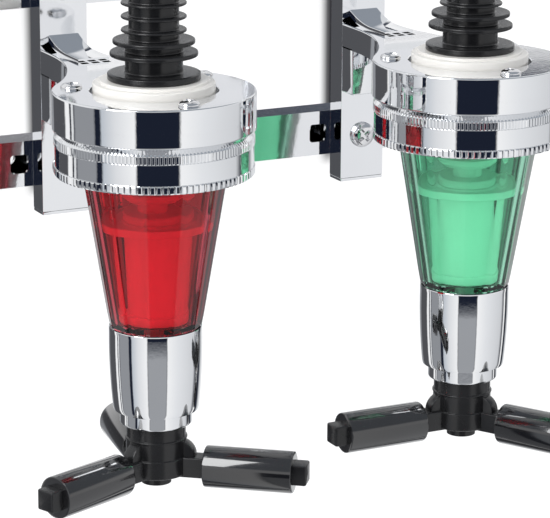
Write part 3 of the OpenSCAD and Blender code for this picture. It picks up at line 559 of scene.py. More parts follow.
def shade(work: EditMesh, smooth_deg: float) -> None:
    """Smooths all faces and marks edges sharper than the angle."""
    limit = math.radians(smooth_deg)
    for face in work.faces:
        face.smooth = True
    for edge in work.edges:
        edge.smooth = not (len(edge.link_faces) == 2 and edge.calc_face_angle(0.0) > limit)


def loft(name: str, rows: Rows, closed: bool = True, smooth_deg: float = 28.0) -> Object:
    """Joins rings of points into a skin.

    Args:
        name: the object's name.
        rows: rings with the same number of points, in millimetres.
        closed: True joins the last ring to the first.
        smooth_deg: edges sharper than this stay sharp.

    Returns:
        The linked object.
    """
    count = len(rows[0])
    verts = [Vector(p) * MM for row in rows for p in row]
    faces = []
    for r in range(len(rows) if closed else len(rows) - 1):
        a, b = r * count, ((r + 1) % len(rows)) * count
        for k in range(count):
            n = (k + 1) % count
            faces.append((a + k, a + n, b + n, b + k))
    return mesh_object(name, verts, faces, smooth_deg)


def capped(name: str, rows: Rows, smooth_deg: float) -> Object:
    """Joins open rings into a skin and closes both ends.

    Args:
        name: the object's name.
        rows: rings with the same number of points, in millimetres.
        smooth_deg: edges sharper than this stay sharp.

    Returns:
        The linked object.
    """
    piece = loft(name, rows, False, smooth_deg)
    with editing(piece.data) as work:
        bmesh.ops.holes_fill(work, edges=[e for e in work.edges if e.is_boundary], sides=0)
        bmesh.ops.recalc_face_normals(work, faces=work.faces)
        shade(work, smooth_deg)
    return piece


def ring_points(radius: float, z: float, centre: Vector, count: int,
                shape: Callable[[float], float] | None = None) -> list[Vector]:
    """Points of one ring.

    Args:
        radius: the ring's radius.
        z: its height over the centre.
        centre: the axis point.
        count: number of points.
        shape: optional factor on the radius for each angle.

    Returns:
        The points, in millimetres.
    """
    points = []
    for k in range(count):
        turn = 2 * math.pi * k / count
        r = radius * (shape(turn) if shape else 1.0)
        points.append(centre + Vector((r * math.cos(turn), r * math.sin(turn), z)))
    return points


def lathe(name: str, profile: Profile, centre: Vector, count: int = 128) -> Object:
    """Turns a closed outline of radius and height round Z.

    Args:
        name: the object's name.
        profile: outline points.
        centre: the axis point, in millimetres.
        count: points round the axis.

    Returns:
        The linked object.
    """
    rows = [ring_points(max(r, 0.001), z, centre, count) for r, z in profile]
    return loft(name, rows)


def solid_lathe(name: str, corners: Sequence[Corner], centre: Vector, count: int = 128,
                steps: int = 4) -> Object:
    """Turns a closed outline with rounded corners round Z."""
    return lathe(name, rounded(corners, steps), centre, count)


def apply_modifiers(target: Object) -> Object:
    """Bakes an object's modifiers into its mesh and returns the object."""
    bpy.context.view_layer.update()
    graph = bpy.context.evaluated_depsgraph_get()
    data = bpy.data.meshes.new_from_object(target.evaluated_get(graph))
    target.modifiers.clear()
    old = target.data
    target.data = data
    bpy.data.meshes.remove(old)
    return target


def softened(name: str, node: str, width: float, segments: int = 2) -> Object:
    """Copies a CAD node with its sharp edges rounded.

    Args:
        name: the new object's name.
        node: the CAD node to copy.
        width: width of the rounding, in millimetres.
        segments: segments across it.

    Returns:
        The linked object.
    """
    data = frame["nodes"][node].data.copy()
    data.materials.clear()
    flat, sharp = math.radians(0.5), math.radians(35)
    with editing(data) as work:
        bmesh.ops.remove_doubles(work, verts=work.verts, dist=1e-6)
        bmesh.ops.dissolve_limit(work, angle_limit=flat, verts=work.verts, edges=work.edges)
        edges = [e for e in work.edges if len(e.link_faces) == 2 and e.calc_face_angle(0.0) > sharp]
        bmesh.ops.bevel(work, geom=edges, offset=width * MM, offset_type="OFFSET", profile=0.5,
                        segments=segments, affect="EDGES", clamp_overlap=True)
        bmesh.ops.recalc_face_normals(work, faces=work.faces)
        shade(work, 32.0)
    made = linked(name, data)
    weighted = made.modifiers.new("weighted", "WEIGHTED_NORMAL")
    weighted.keep_sharp = True
    return apply_modifiers(made)


def joined(name: str, parts: Sequence[Object]) -> Object:
    """Merges several objects into a new one.

    Args:
        name: name of the result.
        parts: objects to merge, all at the origin. They are removed.

    Returns:
        The merged object.
    """
    data = bpy.data.meshes.new(name)
    with editing(data) as work:
        for part in parts:
            work.from_mesh(part.data)
    for part in parts:
        old = part.data
        bpy.data.objects.remove(part)
        bpy.data.meshes.remove(old)
    return linked(name, data)


def put(piece: Object, body: str, finish: Finish, shelf: Finishes,
        nodes: Iterable[str] = ()) -> Object:
    """Dresses a piece, rides it on its body and lets it stand for CAD nodes.

    Args:
        piece: the new piece.
        body: the CAD body that carries it.
        finish: its finish.
        shelf: the finishes.
        nodes: CAD nodes that it replaces.

    Returns:
        The piece.
    """
    piece.data.materials.clear()
    piece.data.materials.append(shelf.material(finish))
    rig.ride(piece, body)
    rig.slot(piece, finish.slot)
    names = list(nodes)
    if names:
        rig.replaces(piece, *names)
    LOG.info("%s rides on %s, %d faces", piece.name, body, len(piece.data.polygons))
    return piece


# The rack


@dataclass
class CrossScrew:
    """A screw with a domed head and a cross recess."""

    head_d: float
    head_h: float
    thread_d: float
    thread_len: float
    recess_share: float = 0.6
    count: int = 64

    def build(self, name: str, place: Matrix) -> Object:
        """Makes the screw with its head towards the place's Z.

        Args:
            name: the object's name.
            place: position and direction, in millimetres.

        Returns:
            The linked object.
        """
        r, h = self.head_d / 2, self.head_h
        profile = [(self.thread_d / 2, -self.thread_len), (self.thread_d / 2, 0.0), (r * 0.97, 0.0),
                   (r, h * 0.12), (r * 0.99, h * 0.3), (r * 0.93, h * 0.52), (r * 0.8, h * 0.74),
                   (r * 0.64, h * 0.88), (r * 0.5, h * 0.95), (r * 0.36, h * 0.985), (r * 0.22, h)]
        work = loft(name, [ring_points(radius, z, Vector(), self.count) for radius, z in profile],
                    closed=False, smooth_deg=40.0)
        with editing(work.data) as mesh:
            bmesh.ops.holes_fill(mesh, edges=[e for e in mesh.edges if e.is_boundary], sides=0)
            bmesh.ops.recalc_face_normals(mesh, faces=mesh.faces)
        cutter = self.recess(name + "_cutter")
        cut = work.modifiers.new("recess", "BOOLEAN")
        cut.operation, cut.object, cut.solver = "DIFFERENCE", cutter, "EXACT"
        apply_modifiers(work)
        bpy.data.objects.remove(cutter)
        with editing(work.data) as mesh:
            shade(mesh, 32.0)
        work.data.transform(Matrix.Scale(MM, 4) @ place @ Matrix.Scale(1 / MM, 4))
        return work

    def recess(self, name: str) -> Object:
        """Makes the tapered cross that cuts the recess.

        Args:
            name: the object's name.

        Returns:
            The linked object.
        """
        span, width = self.head_d * 0.31, self.head_d * 0.075
        top, deep = self.head_h * 1.1, self.head_h * (1.0 - self.recess_share)
        inner = width * 1.3
        outline: Profile = []
        quarter = [(span, -width), (span, width), (inner, inner)]
        for _ in range(4):
            outline += quarter
            quarter = [(-y, x) for x, y in quarter]
        high = [Vector((x, y, top)) for x, y in outline]
        low = [Vector((x * 0.55, y * 0.7, deep)) for x, y in outline]
        count = len(outline)
        verts = [p * MM for p in high + low]
        faces = [(k, (k + 1) % count, count + (k + 1) % count, count + k) for k in range(count)]
        faces += [tuple(range(count)), tuple(range(count, 2 * count))]
        return mesh_object(name, verts, faces)


@dataclass
class Rack:
    """Rails, columns, their caps and their screws."""

    shelf: Finishes
    station_x: dict[Side, float] = field(
        default_factory=lambda: {Side.LEFT: -44.0, Side.RIGHT: 71.0})
    rail_z: tuple[float, float] = (-31.0, 31.0)
    column_front: float = -20.0
    edge: float = 0.35
    nut_edge: float = 0.3
    screw: CrossScrew = field(default_factory=lambda: CrossScrew(9.2, 2.4, 4.0, 13.2))

    def build(self) -> None:
        """Makes and dresses every piece of the rack."""
        shelf = self.shelf
        for node in ("lower_rail", "upper_rail", "column_left", "column_right", "rail_end_caps",
                     "column_end_caps"):
            piece = softened(node + "_plated", node, self.edge)
            put(piece, "rack", Finishes.PROFILE, shelf, [node])
        nuts = softened("rail_nuts_zinc", "rail_nuts", self.nut_edge)
        put(nuts, "rack", Finishes.STEEL, shelf, ["rail_nuts"])
        self.column_screws()
        shelf.dress_node("bracket_screws", Finishes.STEEL)

    def column_screws(self) -> None:
        """Makes the four cross-head screws on the columns' fronts."""
        parts = []
        for side, x in self.station_x.items():
            for level, z in enumerate(self.rail_z):
                turn = Matrix.Rotation(math.radians(20 + 31 * level + 17 * (x > 0)), 4, "Z")
                place = Matrix.Translation((x, self.column_front, z)) @ Matrix.Rotation(
                    math.radians(90), 4, "X") @ turn
                parts.append(self.screw.build(f"column_screw_{side.value}_{level}", place))
        piece = joined("column_screws_plated", parts)
        put(piece, "rack", Finishes.SCREW, self.shelf, ["column_screws"])


# The bracket


@dataclass
class Bracket:
    """Ring, arm with raised web and root block of one station."""

    ring_r: float = 32.5
    ring_h: float = 12.4
    bore_r: float = 20.4
    skirt_r: float = 30.0
    plate: float = 3.0
    edge: float = 0.55
    arm_h: float = 8.5
    half_w: float = 8.5
    blend_r: float = 70.0
    reach: float = 75.0
    root_h: float = 24.5
    root_d: float = 8.0
    web_len: float = 26.0
    web_low: float = 1.2
    web_high: float = 4.7
    web_run: float = 16.0
    web_half: float = 5.5
    window_w: float = 2.6
    window_d: float = 2.4
    window_bar: float = 1.3
    window_y: float = 47.4
    bore_soft: float = 0.3
    root_edge: float = 0.5

    def outline(self, inset: float) -> Profile:
        """Plan outline of ring and arm together, drawn in by an inset.

        Args:
            inset: distance to the outermost outline.

        Returns:
            The points, counter-clockwise from the column's right corner.
        """
        cx = self.half_w + self.blend_r
        cy = math.sqrt((self.ring_r + self.blend_r) ** 2 - cx ** 2)
        join = math.atan2(cy, cx)
        points = [(self.half_w - inset, self.reach)]
        steps, count = 20, 120
        blend, ring = self.blend_r + inset, self.ring_r - inset
        for k in range(steps + 1):
            turn = math.pi + join * k / steps
            points.append((cx + blend * math.cos(turn), cy + blend * math.sin(turn)))
        around = []
        for k in range(1, count):
            turn = join - (2 * join + math.pi) * k / count
            around.append((ring * math.cos(turn), ring * math.sin(turn)))
        return points + around + [(-x, y) for x, y in reversed(points)]

    def plate_rows(self) -> list[list[Vector]]:
        """Rings of the rounded rim, from the underside up to the flat top."""
        rows = [[Vector((x, y, -self.arm_h)) for x, y in self.outline(0.0)]]
        for k in range(6):
            turn = math.pi / 2 * k / 5
            inset = self.edge * (1 - math.cos(turn))
            z = -self.edge * (1 - math.sin(turn))
            rows.append([Vector((x, y, z)) for x, y in self.outline(inset)])
        return rows

    def build(self, name: str, centre: Vector) -> Object:
        """Makes the bracket.

        Args:
            name: the object's name.
            centre: middle of the ring's top, in millimetres.

        Returns:
            The linked object.
        """
        parts = [self.top_plate(name + "_plate", centre), self.skirt(name + "_skirt", centre),
                 self.web(name + "_web", centre), self.root(name + "_root", centre)]
        return joined(name, parts)

    def top_plate(self, name: str, centre: Vector) -> Object:
        """Makes the plate with its rounded rim, bore, hollow and windows and returns it."""
        data = bpy.data.meshes.new(name)
        with editing(data) as work:
            self.fill_plate(work, centre)
        return linked(name, data)

    def fill_plate(self, work: EditMesh, centre: Vector) -> None:
        """Builds the plate's faces.

        Args:
            work: the empty mesh to fill.
            centre: middle of the ring's top, in millimetres.
        """

        def loop(points: Sequence[Vector]) -> list[Point]:
            """Adds the points of one closed line."""
            return [work.verts.new((p + centre) * MM) for p in points]

        def walls(loops: Sequence[list[Point]]) -> None:
            """Joins each line to the next with faces."""
            for low, high in zip(loops, loops[1:]):
                count = len(low)
                for k in range(count):
                    n = (k + 1) % count
                    work.faces.new((low[k], low[n], high[n], high[k])).smooth = True

        def cover(loops: Sequence[list[Point]]) -> None:
            """Fills the flat face between an outer line and its holes."""
            rim = [work.edges.get((line[k], line[(k + 1) % len(line)]))
                   for line in loops for k in range(len(line))]
            bmesh.ops.triangle_fill(work, use_beauty=True, use_dissolve=False, edges=rim)

        outer = [loop(row) for row in self.plate_rows()]
        soft = self.bore_soft
        bore = [loop(ring_points(radius, z, Vector(), 128)) for radius, z in (
            (self.skirt_r, -self.arm_h), (self.skirt_r, -self.plate), (self.bore_r, -self.plate),
            (self.bore_r, -soft), (self.bore_r + soft, 0.0))]
        windows = []
        for step in (-1, 0, 1):
            middle = step * (self.window_w + self.window_bar)
            plan = [(middle + a * self.window_w / 2, self.window_y + b * self.window_d / 2)
                    for a, b in ((-1, -1), (1, -1), (1, 1), (-1, 1))]
            windows.append([loop([Vector((x, y, z)) for x, y in plan]) for z in (-self.arm_h, 0.0)])
        for loops in (outer, bore, *windows):
            walls(loops)
        cover([outer[-1], bore[-1], *(w[-1] for w in windows)])
        cover([outer[0], bore[0], *(w[0] for w in windows)])
        bmesh.ops.recalc_face_normals(work, faces=work.faces)
        sharp = math.radians(40)
        for edge in work.edges:
            edge.smooth = not (len(edge.link_faces) == 2 and edge.calc_face_angle(0.0) > sharp)

    def skirt(self, name: str, centre: Vector) -> Object:
        """Makes the ring's skirt with its rounded lower edge and returns it."""
        corners = [(self.ring_r, -self.arm_h + 1.0, 0.0), (self.ring_r, -self.ring_h, 0.5),
                   (self.skirt_r, -self.ring_h, 0.2), (self.skirt_r, -self.arm_h + 1.0, 0.0)]
        return solid_lathe(name, corners, centre, 192)

    def web(self, name: str, centre: Vector) -> Object:
        """Makes the raised web that runs up the column.

        Args:
            name: the object's name.
            centre: middle of the ring's top, in millimetres.

        Returns:
            The linked object.
        """
        start = self.reach - self.web_len
        steps, soft, sunk = 28, 0.35, -1.0
        half, tuck = self.web_half, soft * 0.3
        profile: Profile = []
        for k in range(steps + 1):
            share = k / steps
            lift = max(0.0, (share * self.web_len - self.web_len + self.web_run) / self.web_run)
            profile.append((start + self.web_len * share, self.web_low
                            + (self.web_high - self.web_low) * lift ** 2))
        rows = []
        for across, drop in ((-half, -self.web_low + sunk), (-half, -soft), (-half + tuck, -tuck),
                             (-half + soft, 0.0), (half - soft, 0.0), (half - tuck, -tuck),
                             (half, -soft), (half, -self.web_low + sunk)):
            rows.append([Vector((across, y, max(z + drop, sunk))) + centre for y, z in profile])
        verts = [p * MM for row in rows for p in row]
        count = len(profile)
        faces = [(r * count + k, r * count + k + 1, (r + 1) * count + k + 1, (r + 1) * count + k)
                 for r in range(len(rows) - 1) for k in range(count - 1)]
        faces.append(tuple(r * count for r in range(len(rows))))
        return mesh_object(name, verts, faces, 35.0)

    def root(self, name: str, centre: Vector) -> Object:
        """Makes the root block against the column.

        Args:
            name: the object's name.
            centre: middle of the ring's top, in millimetres.

        Returns:
            The linked object.
        """
        low = Vector((-self.half_w, self.reach - self.root_d, -self.root_h)) + centre
        high = Vector((self.half_w, self.reach, -self.arm_h + 0.5)) + centre
        data = bpy.data.meshes.new(name)
        with editing(data) as work:
            bmesh.ops.create_cube(work, size=1.0)
            for vert in work.verts:
                for axis in range(3):
                    vert.co[axis] = (low[axis] if vert.co[axis] < 0 else high[axis]) * MM
            edges = [e for e in work.edges if any(v.co.z < low.z * MM + 1e-6 for v in e.verts)]
            bmesh.ops.bevel(work, geom=edges, offset=self.root_edge * MM, segments=3, profile=0.5,
                            affect="EDGES")
            shade(work, 40.0)
        return linked(name, data)


# The station


@dataclass
class Station:
    """One shot measure: stopper, collar, nut, chamber, valves, sleeve and push arms."""

    side: Side
    shelf: Finishes
    x: float
    hub_turn: float
    tint: Finish
    axis_y: float = -95.0
    ring_z: float = 10.0
    bracket: Bracket = field(default_factory=Bracket)
    screw: CrossScrew = field(default_factory=lambda: CrossScrew(7.0, 1.6, 3.0, 9.0))
    fine_teeth: int = 160
    coarse_teeth: int = 100
    chamber_sides: int = 12
    screw_circle_r: float = 26.3
    nut_bore_r: float = 28.08
    lip_r: float = 24.6
    rod_r: float = 3.0
    inlet_r: float = 9.0
    lip_z: float = -24.0
    floor_z: float = -75.2
    sleeve_top: float = -77.4
    spigot_low: float = -83.0
    spigot_r: float = 12.6
    sleeve_bore_r: float = 12.7
    sleeve_low: float = -105.4
    bush_bore_r: float = 12.0
    bush_r: float = 11.9
    spring_foot: float = -102.4
    hub_low: float = -127.4
    arm_z: float = -124.5
    arm_half: float = 3.4

    @property
    def centre(self) -> Vector:
        """Middle of the ring's top face, in millimetres."""
        return Vector((self.x, self.axis_y, self.ring_z))

    def name(self, stem: str) -> str:
        """Adds the side to a name."""
        return f"{stem}_{self.side.value}"

    def put(self, piece: Object, body: str, finish: Finish, node: str) -> None:
        """Puts a piece of this station in place of one of its CAD nodes."""
        put(piece, body, finish, self.shelf, [self.name(node)])

    def dress(self, node: str, finish: Finish) -> None:
        """Gives a CAD node of this station that stays visible its finish."""
        self.shelf.dress_node(self.name(node), finish)

    def turned(self, stem: str, node: str, corners: Sequence[Corner], body: str, finish: Finish,
               count: int = 128, steps: int = 4) -> None:
        """Makes a turned piece that replaces a CAD node.

        Args:
            stem: name without the side.
            node: CAD node without the side.
            corners: its outline with corner radii.
            body: the body's full name.
            finish: its finish.
            count: points round the axis.
            steps: segments per rounded corner.
        """
        piece = solid_lathe(self.name(stem), corners, self.centre, count, steps)
        self.put(piece, body, finish, node)

    def build(self) -> None:
        """Makes and dresses every piece of the station."""
        self.bracket_and_screws()
        self.inlet()
        self.stopper()
        self.locking_nut()
        self.chamber()
        self.inner_pieces()
        self.sleeve_and_bush()
        self.push_ring()
        self.bottle_holder()

    def bracket_and_screws(self) -> None:
        """Makes the bracket, the ring screws and dresses the neck ring."""
        piece = self.bracket.build(self.name("bracket_plated"), self.centre)
        self.put(piece, "rack", Finishes.CHROME, "bracket")
        parts = []
        for k, turn in enumerate((30, 150, 270)):
            angle = math.radians(turn)
            out = Vector((math.cos(angle), math.sin(angle), 0.0))
            spot = self.centre + out * self.screw_circle_r
            place = Matrix.Translation(spot) @ Matrix.Rotation(math.radians(14 + 37 * k), 4, "Z")
            parts.append(self.screw.build(self.name(f"ring_screw_{k}"), place))
        screws = joined(self.name("ring_screws_plated"), parts)
        self.put(screws, "rack", Finishes.SCREW, "ring_screws")
        self.dress("neck_ring", Finishes.BLACK)
        self.dress("chamber_gasket", Finishes.RUBBER)

    def inlet(self) -> None:
        """Makes the ivory collar with its tiers."""
        outer, tier, bore, neck, foot_r = 19.5, 17.4, 11.6, 12.6, 24.0
        foot_top, foot_low, neck_low, seat = -17.5, -20.0, -27.1, -8.0
        corners = [(outer, foot_top, 0.0), (outer, 2.5, 0.5), (tier + 0.2, 2.65, 0.15),
                   (tier, 3.5, 0.35), (bore, 3.5, 0.3), (bore, seat, 0.0),
                   (self.inlet_r, seat, 0.0),
                   (self.inlet_r, neck_low, 0.2), (neck, neck_low, 0.4), (neck, foot_low, 0.0),
                   (foot_r, foot_low, 0.2), (foot_r, foot_top, 0.2)]
        self.turned("collar_ivory", "inlet_collar", corners, "rack", Finishes.IVORY)
        self.dress("air_tube", Finishes.STEEL)

    def stopper(self) -> None:
        """Makes the finned rubber stopper."""
        bore, low_core, core = 5.5, 9.15, 8.0
        corners: list[Corner] = [
            (bore, -8.0, 0.0), (11.3, -8.0, 0.3), (11.3, 3.5, 0.0), (14.8, 3.5, 0.3),
            (14.8, 5.5, 0.3), (13.9, 5.7, 0.2), (9.2, 5.7, 0.5)]
        for index, (radius, low, thick) in enumerate(
                ((14.0, 11.0, 1.4), (13.05, 14.9, 1.4), (10.4, 18.7, 0.9), (10.4, 23.0, 0.9),
                 (10.4, 27.3, 0.9), (10.3, 31.6, 0.9))):
            inner = low_core if index < 2 else core
            outer = core if index > 0 else low_core
            corners += [(inner, low + 0.3, 0.3), (radius, low, 0.3), (radius, low + thick, 0.4),
                        (outer, low + thick - 0.1, 0.4)]
        corners += [(core, 35.3, 0.3), (core - 0.5, 35.9, 0.2), (bore, 35.9, 0.2)]
        self.turned("stopper_rubber", "bottle_stopper", corners, "rack", Finishes.RUBBER, 128, 4)

    def locking_nut(self) -> None:
        """Makes the nut with its fine upper and coarse lower knurled band."""
        count, depth, slope = self.fine_teeth * 5, 0.5, 4.2

        def teeth(turn: float, number: int) -> float:
            """Share of the groove's depth at an angle."""
            phase = (turn * number / (2 * math.pi)) % 1.0
            return max(0.0, 1.0 - abs(phase - 0.5) * slope)

        fine, coarse = self.fine_teeth, self.coarse_teeth
        crest, valley, waist = 32.0, 31.6, 31.7
        outline = [
            (30.0, -12.6, 0.0, fine), (30.4, -12.7, 0.0, fine), (31.8, -14.5, 0.0, fine),
            (31.95, -14.6, 0.5, fine), (crest, -14.8, 1.0, fine), (crest, -17.0, 1.0, fine),
            (31.85, -17.25, 0.5, fine), (valley, -17.3, 0.0, fine), (waist, -17.45, 0.0, fine),
            (waist, -23.95, 0.0, coarse), (valley, -24.1, 0.0, coarse),
            (31.85, -24.15, 0.5, coarse), (crest, -24.4, 1.0, coarse),
            (crest, -26.3, 1.0, coarse), (31.8, -26.7, 0.5, coarse),
            (31.3, -26.8, 0.0, coarse), (self.lip_r + 0.3, -26.8, 0.0, coarse),
            (self.lip_r, -26.6, 0.0, coarse), (self.lip_r, self.lip_z, 0.0, coarse),
            (self.nut_bore_r, self.lip_z, 0.0, coarse), (self.nut_bore_r, -12.8, 0.0, fine),
            (28.3, -12.6, 0.0, fine)]
        rows = [ring_points(radius, z, self.centre, count,
                            lambda turn: 1.0 - depth * cut * teeth(turn, number) / radius)
                for radius, z, cut, number in outline]
        piece = loft(self.name("nut_knurled"), rows, True, 24.0)
        self.put(piece, self.name("nut"), Finishes.CHROME, "locking_nut")

    def facet(self, soft: float) -> Callable[[float], float]:
        """Radius factor of the chamber's sides with softened corners.

        Args:
            soft: share of the radius taken off each corner.

        Returns:
            A function from the angle to the factor.
        """
        half = math.pi / self.chamber_sides

        def factor(turn: float) -> float:
            """Factor on the corner radius at an angle."""
            off = (turn + half) % (2 * half) - half
            flat = math.cos(half) / math.cos(half - abs(off))
            return min(flat, 1.0 - soft)

        return factor

    def chamber(self) -> None:
        """Makes the clear chamber with flat sides outside and a round bore."""
        count = self.chamber_sides * 16
        shape = self.facet(0.004)
        top, base, flange, flange_r = self.lip_z, self.sleeve_top, -21.6, 27.9
        corner_top, corner_low, mouth_r, floor_r = 24.0, 15.1, 21.58, 12.98
        drain_r, outer_r, groove_r, groove_low, groove_top = 7.5, self.spigot_r, 11.25, -81.0, -79.4
        foot, soft, foot_soft = self.spigot_low, 0.4, 0.012
        c, steps = self.centre, 12
        rows = []
        for share in (0.0, 0.004, foot_soft):
            corner = corner_low - soft * (1 - share / foot_soft)
            rows.append(ring_points(corner, base + (top - base) * share, c, count, shape))
        for k in range(1, steps + 1):
            share = k / steps
            corner = corner_low + (corner_top - corner_low) * share
            rows.append(ring_points(corner, base + (top - base) * share, c, count, shape))
        for radius, z in ((flange_r, top), (flange_r, flange), (mouth_r, flange), (mouth_r, top)):
            rows.append(ring_points(radius, z, c, count))
        for k in range(1, steps + 1):
            share = k / steps
            inner = mouth_r + (floor_r - mouth_r) * share
            rows.append(ring_points(inner, top + (self.floor_z - top) * share, c, count))
        for radius, z in ((drain_r + 0.2, self.floor_z), (drain_r, self.floor_z - 0.2),
                          (drain_r, foot + 0.2), (drain_r + 0.2, foot), (outer_r - 0.3, foot),
                          (outer_r, foot + 0.3), (outer_r, groove_low), (groove_r, groove_low),
                          (groove_r, groove_top), (outer_r, groove_top), (outer_r, base)):
            rows.append(ring_points(radius, z, c, count))
        self.put(loft(self.name("chamber_clear"), rows, True, 20.0), "rack", self.tint, "chamber")

    def inner_pieces(self) -> None:
        """Makes the measure insert, the valves and the spring, and dresses the rod and the rest."""
        seat, lift, rod = -41.6, 0.7, self.rod_r
        rim_r, inner_r, foot_r, foot_top = 18.05, 9.0, 11.4, self.floor_z + 3.0
        insert = [
            (rim_r, seat - 2.6, 0.4), (rim_r, seat, 0.3), (17.2, seat, 0.3),
            (16.4, seat - lift, 0.5), (12.6, seat - lift, 0.5), (11.9, seat, 0.3),
            (10.4, seat, 0.3), (10.2, seat - 0.4, 0.2),
            (inner_r, self.floor_z, 0.2), (foot_r, self.floor_z, 0.3), (foot_r, foot_top, 0.4),
            (10.5, foot_top, 0.4), (11.6, seat - 2.6, 0.8)]
        self.turned("insert_white", "measure_insert", insert, "rack", Finishes.WHITE)
        plunger = self.name("plunger")
        low, high, disc_r = -35.2, -31.4, 12.2
        inlet = [(rod, low, 0.0), (9.8, low, 1.2), (disc_r, low + 1.6, 0.8),
                 (disc_r, high - 0.6, 0.4), (11.4, high, 0.4), (rod, high, 0.0)]
        self.turned("inlet_valve_white", "inlet_valve", inlet, plunger, Finishes.WHITE)
        disc_r, top = 11.7, seat + 2.4
        outlet = [(rod, seat, 0.0), (disc_r, seat, 0.3), (disc_r, seat + 1.8, 0.4),
                  (11.1, top, 0.4), (rod, top, 0.0)]
        self.turned("outlet_valve_white", "outlet_valve", outlet, plunger, Finishes.WHITE)
        self.dress("valve_rod", Finishes.WHITE)
        self.dress("sleeve_seal", Finishes.RUBBER)
        self.spring()

    def spring(self) -> None:
        """Makes the return spring as one round wire."""
        radius, wire, foot, head = 7.8, 0.6, self.spring_foot, self.spigot_low
        low, high, curls, per_curl, around = foot + wire, head - wire, 7, 36, 12
        steps = per_curl * curls
        rows = []
        for k in range(steps + 1):
            turn = 2 * math.pi * k / per_curl
            spot = self.centre + Vector((radius * math.cos(turn), radius * math.sin(turn),
                                         low + (high - low) * k / steps))
            out = Vector((math.cos(turn), math.sin(turn), 0.0))
            rows.append([spot + out * wire * math.cos(a) + Vector((0, 0, wire)) * math.sin(a)
                         for a in (2 * math.pi * j / around for j in range(around))])
        piece = capped(self.name("spring_wire"), rows, 60.0)
        self.put(piece, "rack", Finishes.STEEL, "return_spring")
        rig.squash(piece, f"plunger_slide_{self.side.value}", axis=(0, 0, 1),
                  anchor=tuple((self.centre + Vector((0, 0, -83.0))) * MM), keep=15.2 / 19.4)

    def sleeve_and_bush(self) -> None:
        """Makes the chromed sleeve with its slight barrel and the bush below it."""
        low, top, foot_r, bulge, taper, steps = -105.0, self.sleeve_top, 13.9, 1.3, 0.1, 24
        profile: Profile = []
        for k in range(steps + 1):
            share = k / steps
            barrel = bulge * (1 - (1 - share) ** 2.2) ** 0.9
            radius = foot_r + barrel - taper * max(0.0, share - 0.7) / 0.3
            profile.append((radius, low + 27.3 * share))
        end, bore, seat = self.sleeve_low, self.bush_bore_r, self.spigot_low
        corners = [(bore, end), (13.5, end), (13.8, end + 0.15)] + profile
        corners += [(15.0, top - 0.05), (14.8, top), (self.sleeve_bore_r, top),
                    (self.sleeve_bore_r, seat), (bore, seat)]
        piece = lathe(self.name("sleeve_plated"), corners, self.centre, 160)
        self.put(piece, "rack", Finishes.CHROME, "outlet_sleeve")
        fit, top, low = 9.78, -94.9, -110.3
        bush = [(fit, top, 0.2), (fit, low, 0.4), (11.8, low, 0.7), (11.8, end, 0.0),
                (self.bush_r, end, 0.0), (self.bush_r, top, 0.2)]
        self.turned("bush_plated", "guide_bush", bush, "rack", Finishes.CHROME)

    def push_ring(self) -> None:
        """Makes the hub with its arms, the grips and the clip, and dresses the pouring tube."""
        body = self.name("push_ring")
        bore, foot_r, waist_r, top_r, top, low = 4.98, 10.4, 9.9, 9.7, -104.3, self.hub_low
        hub = [(bore, top, 0.3), (bore, low, 0.4), (foot_r, low, 0.7), (foot_r, -121.3, 0.25),
               (waist_r, -121.1, 0.1), (waist_r, -115.5, 0.2), (10.2, -115.4, 0.15),
               (10.2, -114.9, 0.25), (top_r, -114.7, 0.1), (top_r, top, 0.4)]
        parts = [solid_lathe(self.name("hub_core"), hub, self.centre, 128)]
        for k in range(3):
            parts += [self.arm(k), self.shoulder(k)]
        self.put(joined(self.name("push_hub_moulded"), parts), body, Finishes.BLACK, "push_hub")
        grips = [self.grip(k) for k in range(3)]
        self.put(joined(self.name("grips_glossy"), grips), body, Finishes.GLOSS, "arm_grips")
        self.dress("pouring_tube", Finishes.BLACK)
        inner, outer, top, base = 4.95, 6.0, low - 0.1, low - 1.1
        clip = [(inner, top, 0.15), (inner, base, 0.2), (outer, base, 0.4), (outer, top, 0.3)]
        self.turned("clip_plated", "hub_clip", clip, self.name("plunger"), Finishes.SCREW)

    def along_arm(self, index: int) -> Matrix:
        """Place of an arm, with Z along it, in millimetres."""
        turn = math.radians(self.hub_turn + 120 * index)
        return (Matrix.Translation(self.centre + Vector((0, 0, self.arm_z)))
                @ Matrix.Rotation(turn, 4, "Z") @ Matrix.Rotation(math.radians(90), 4, "Y"))

    def arm(self, index: int) -> Object:
        """Makes one square arm with softened edges.

        Args:
            index: number of the arm, from 0 to 2.

        Returns:
            The linked object.
        """
        place = self.along_arm(index)
        half, soft, steps = self.arm_half, 0.45, 4
        rows = []
        for along, inset in ((7.0, 0.0), (49.9, 0.0), (50.3, 0.12), (50.5, 0.4)):
            row = []
            for corner in range(4):
                middle = math.pi / 4 + corner * math.pi / 2
                reach = half - inset - soft
                x, y = (math.copysign(reach, f(middle)) for f in (math.cos, math.sin))
                for k in range(steps + 1):
                    turn = middle - math.pi / 4 + math.pi / 2 * k / steps
                    dx, dy = soft * math.cos(turn), soft * math.sin(turn)
                    row.append(place @ Vector((x + dx, y + dy, along)))
            rows.append(row)
        return capped(self.name(f"arm_{index}"), rows, 40.0)

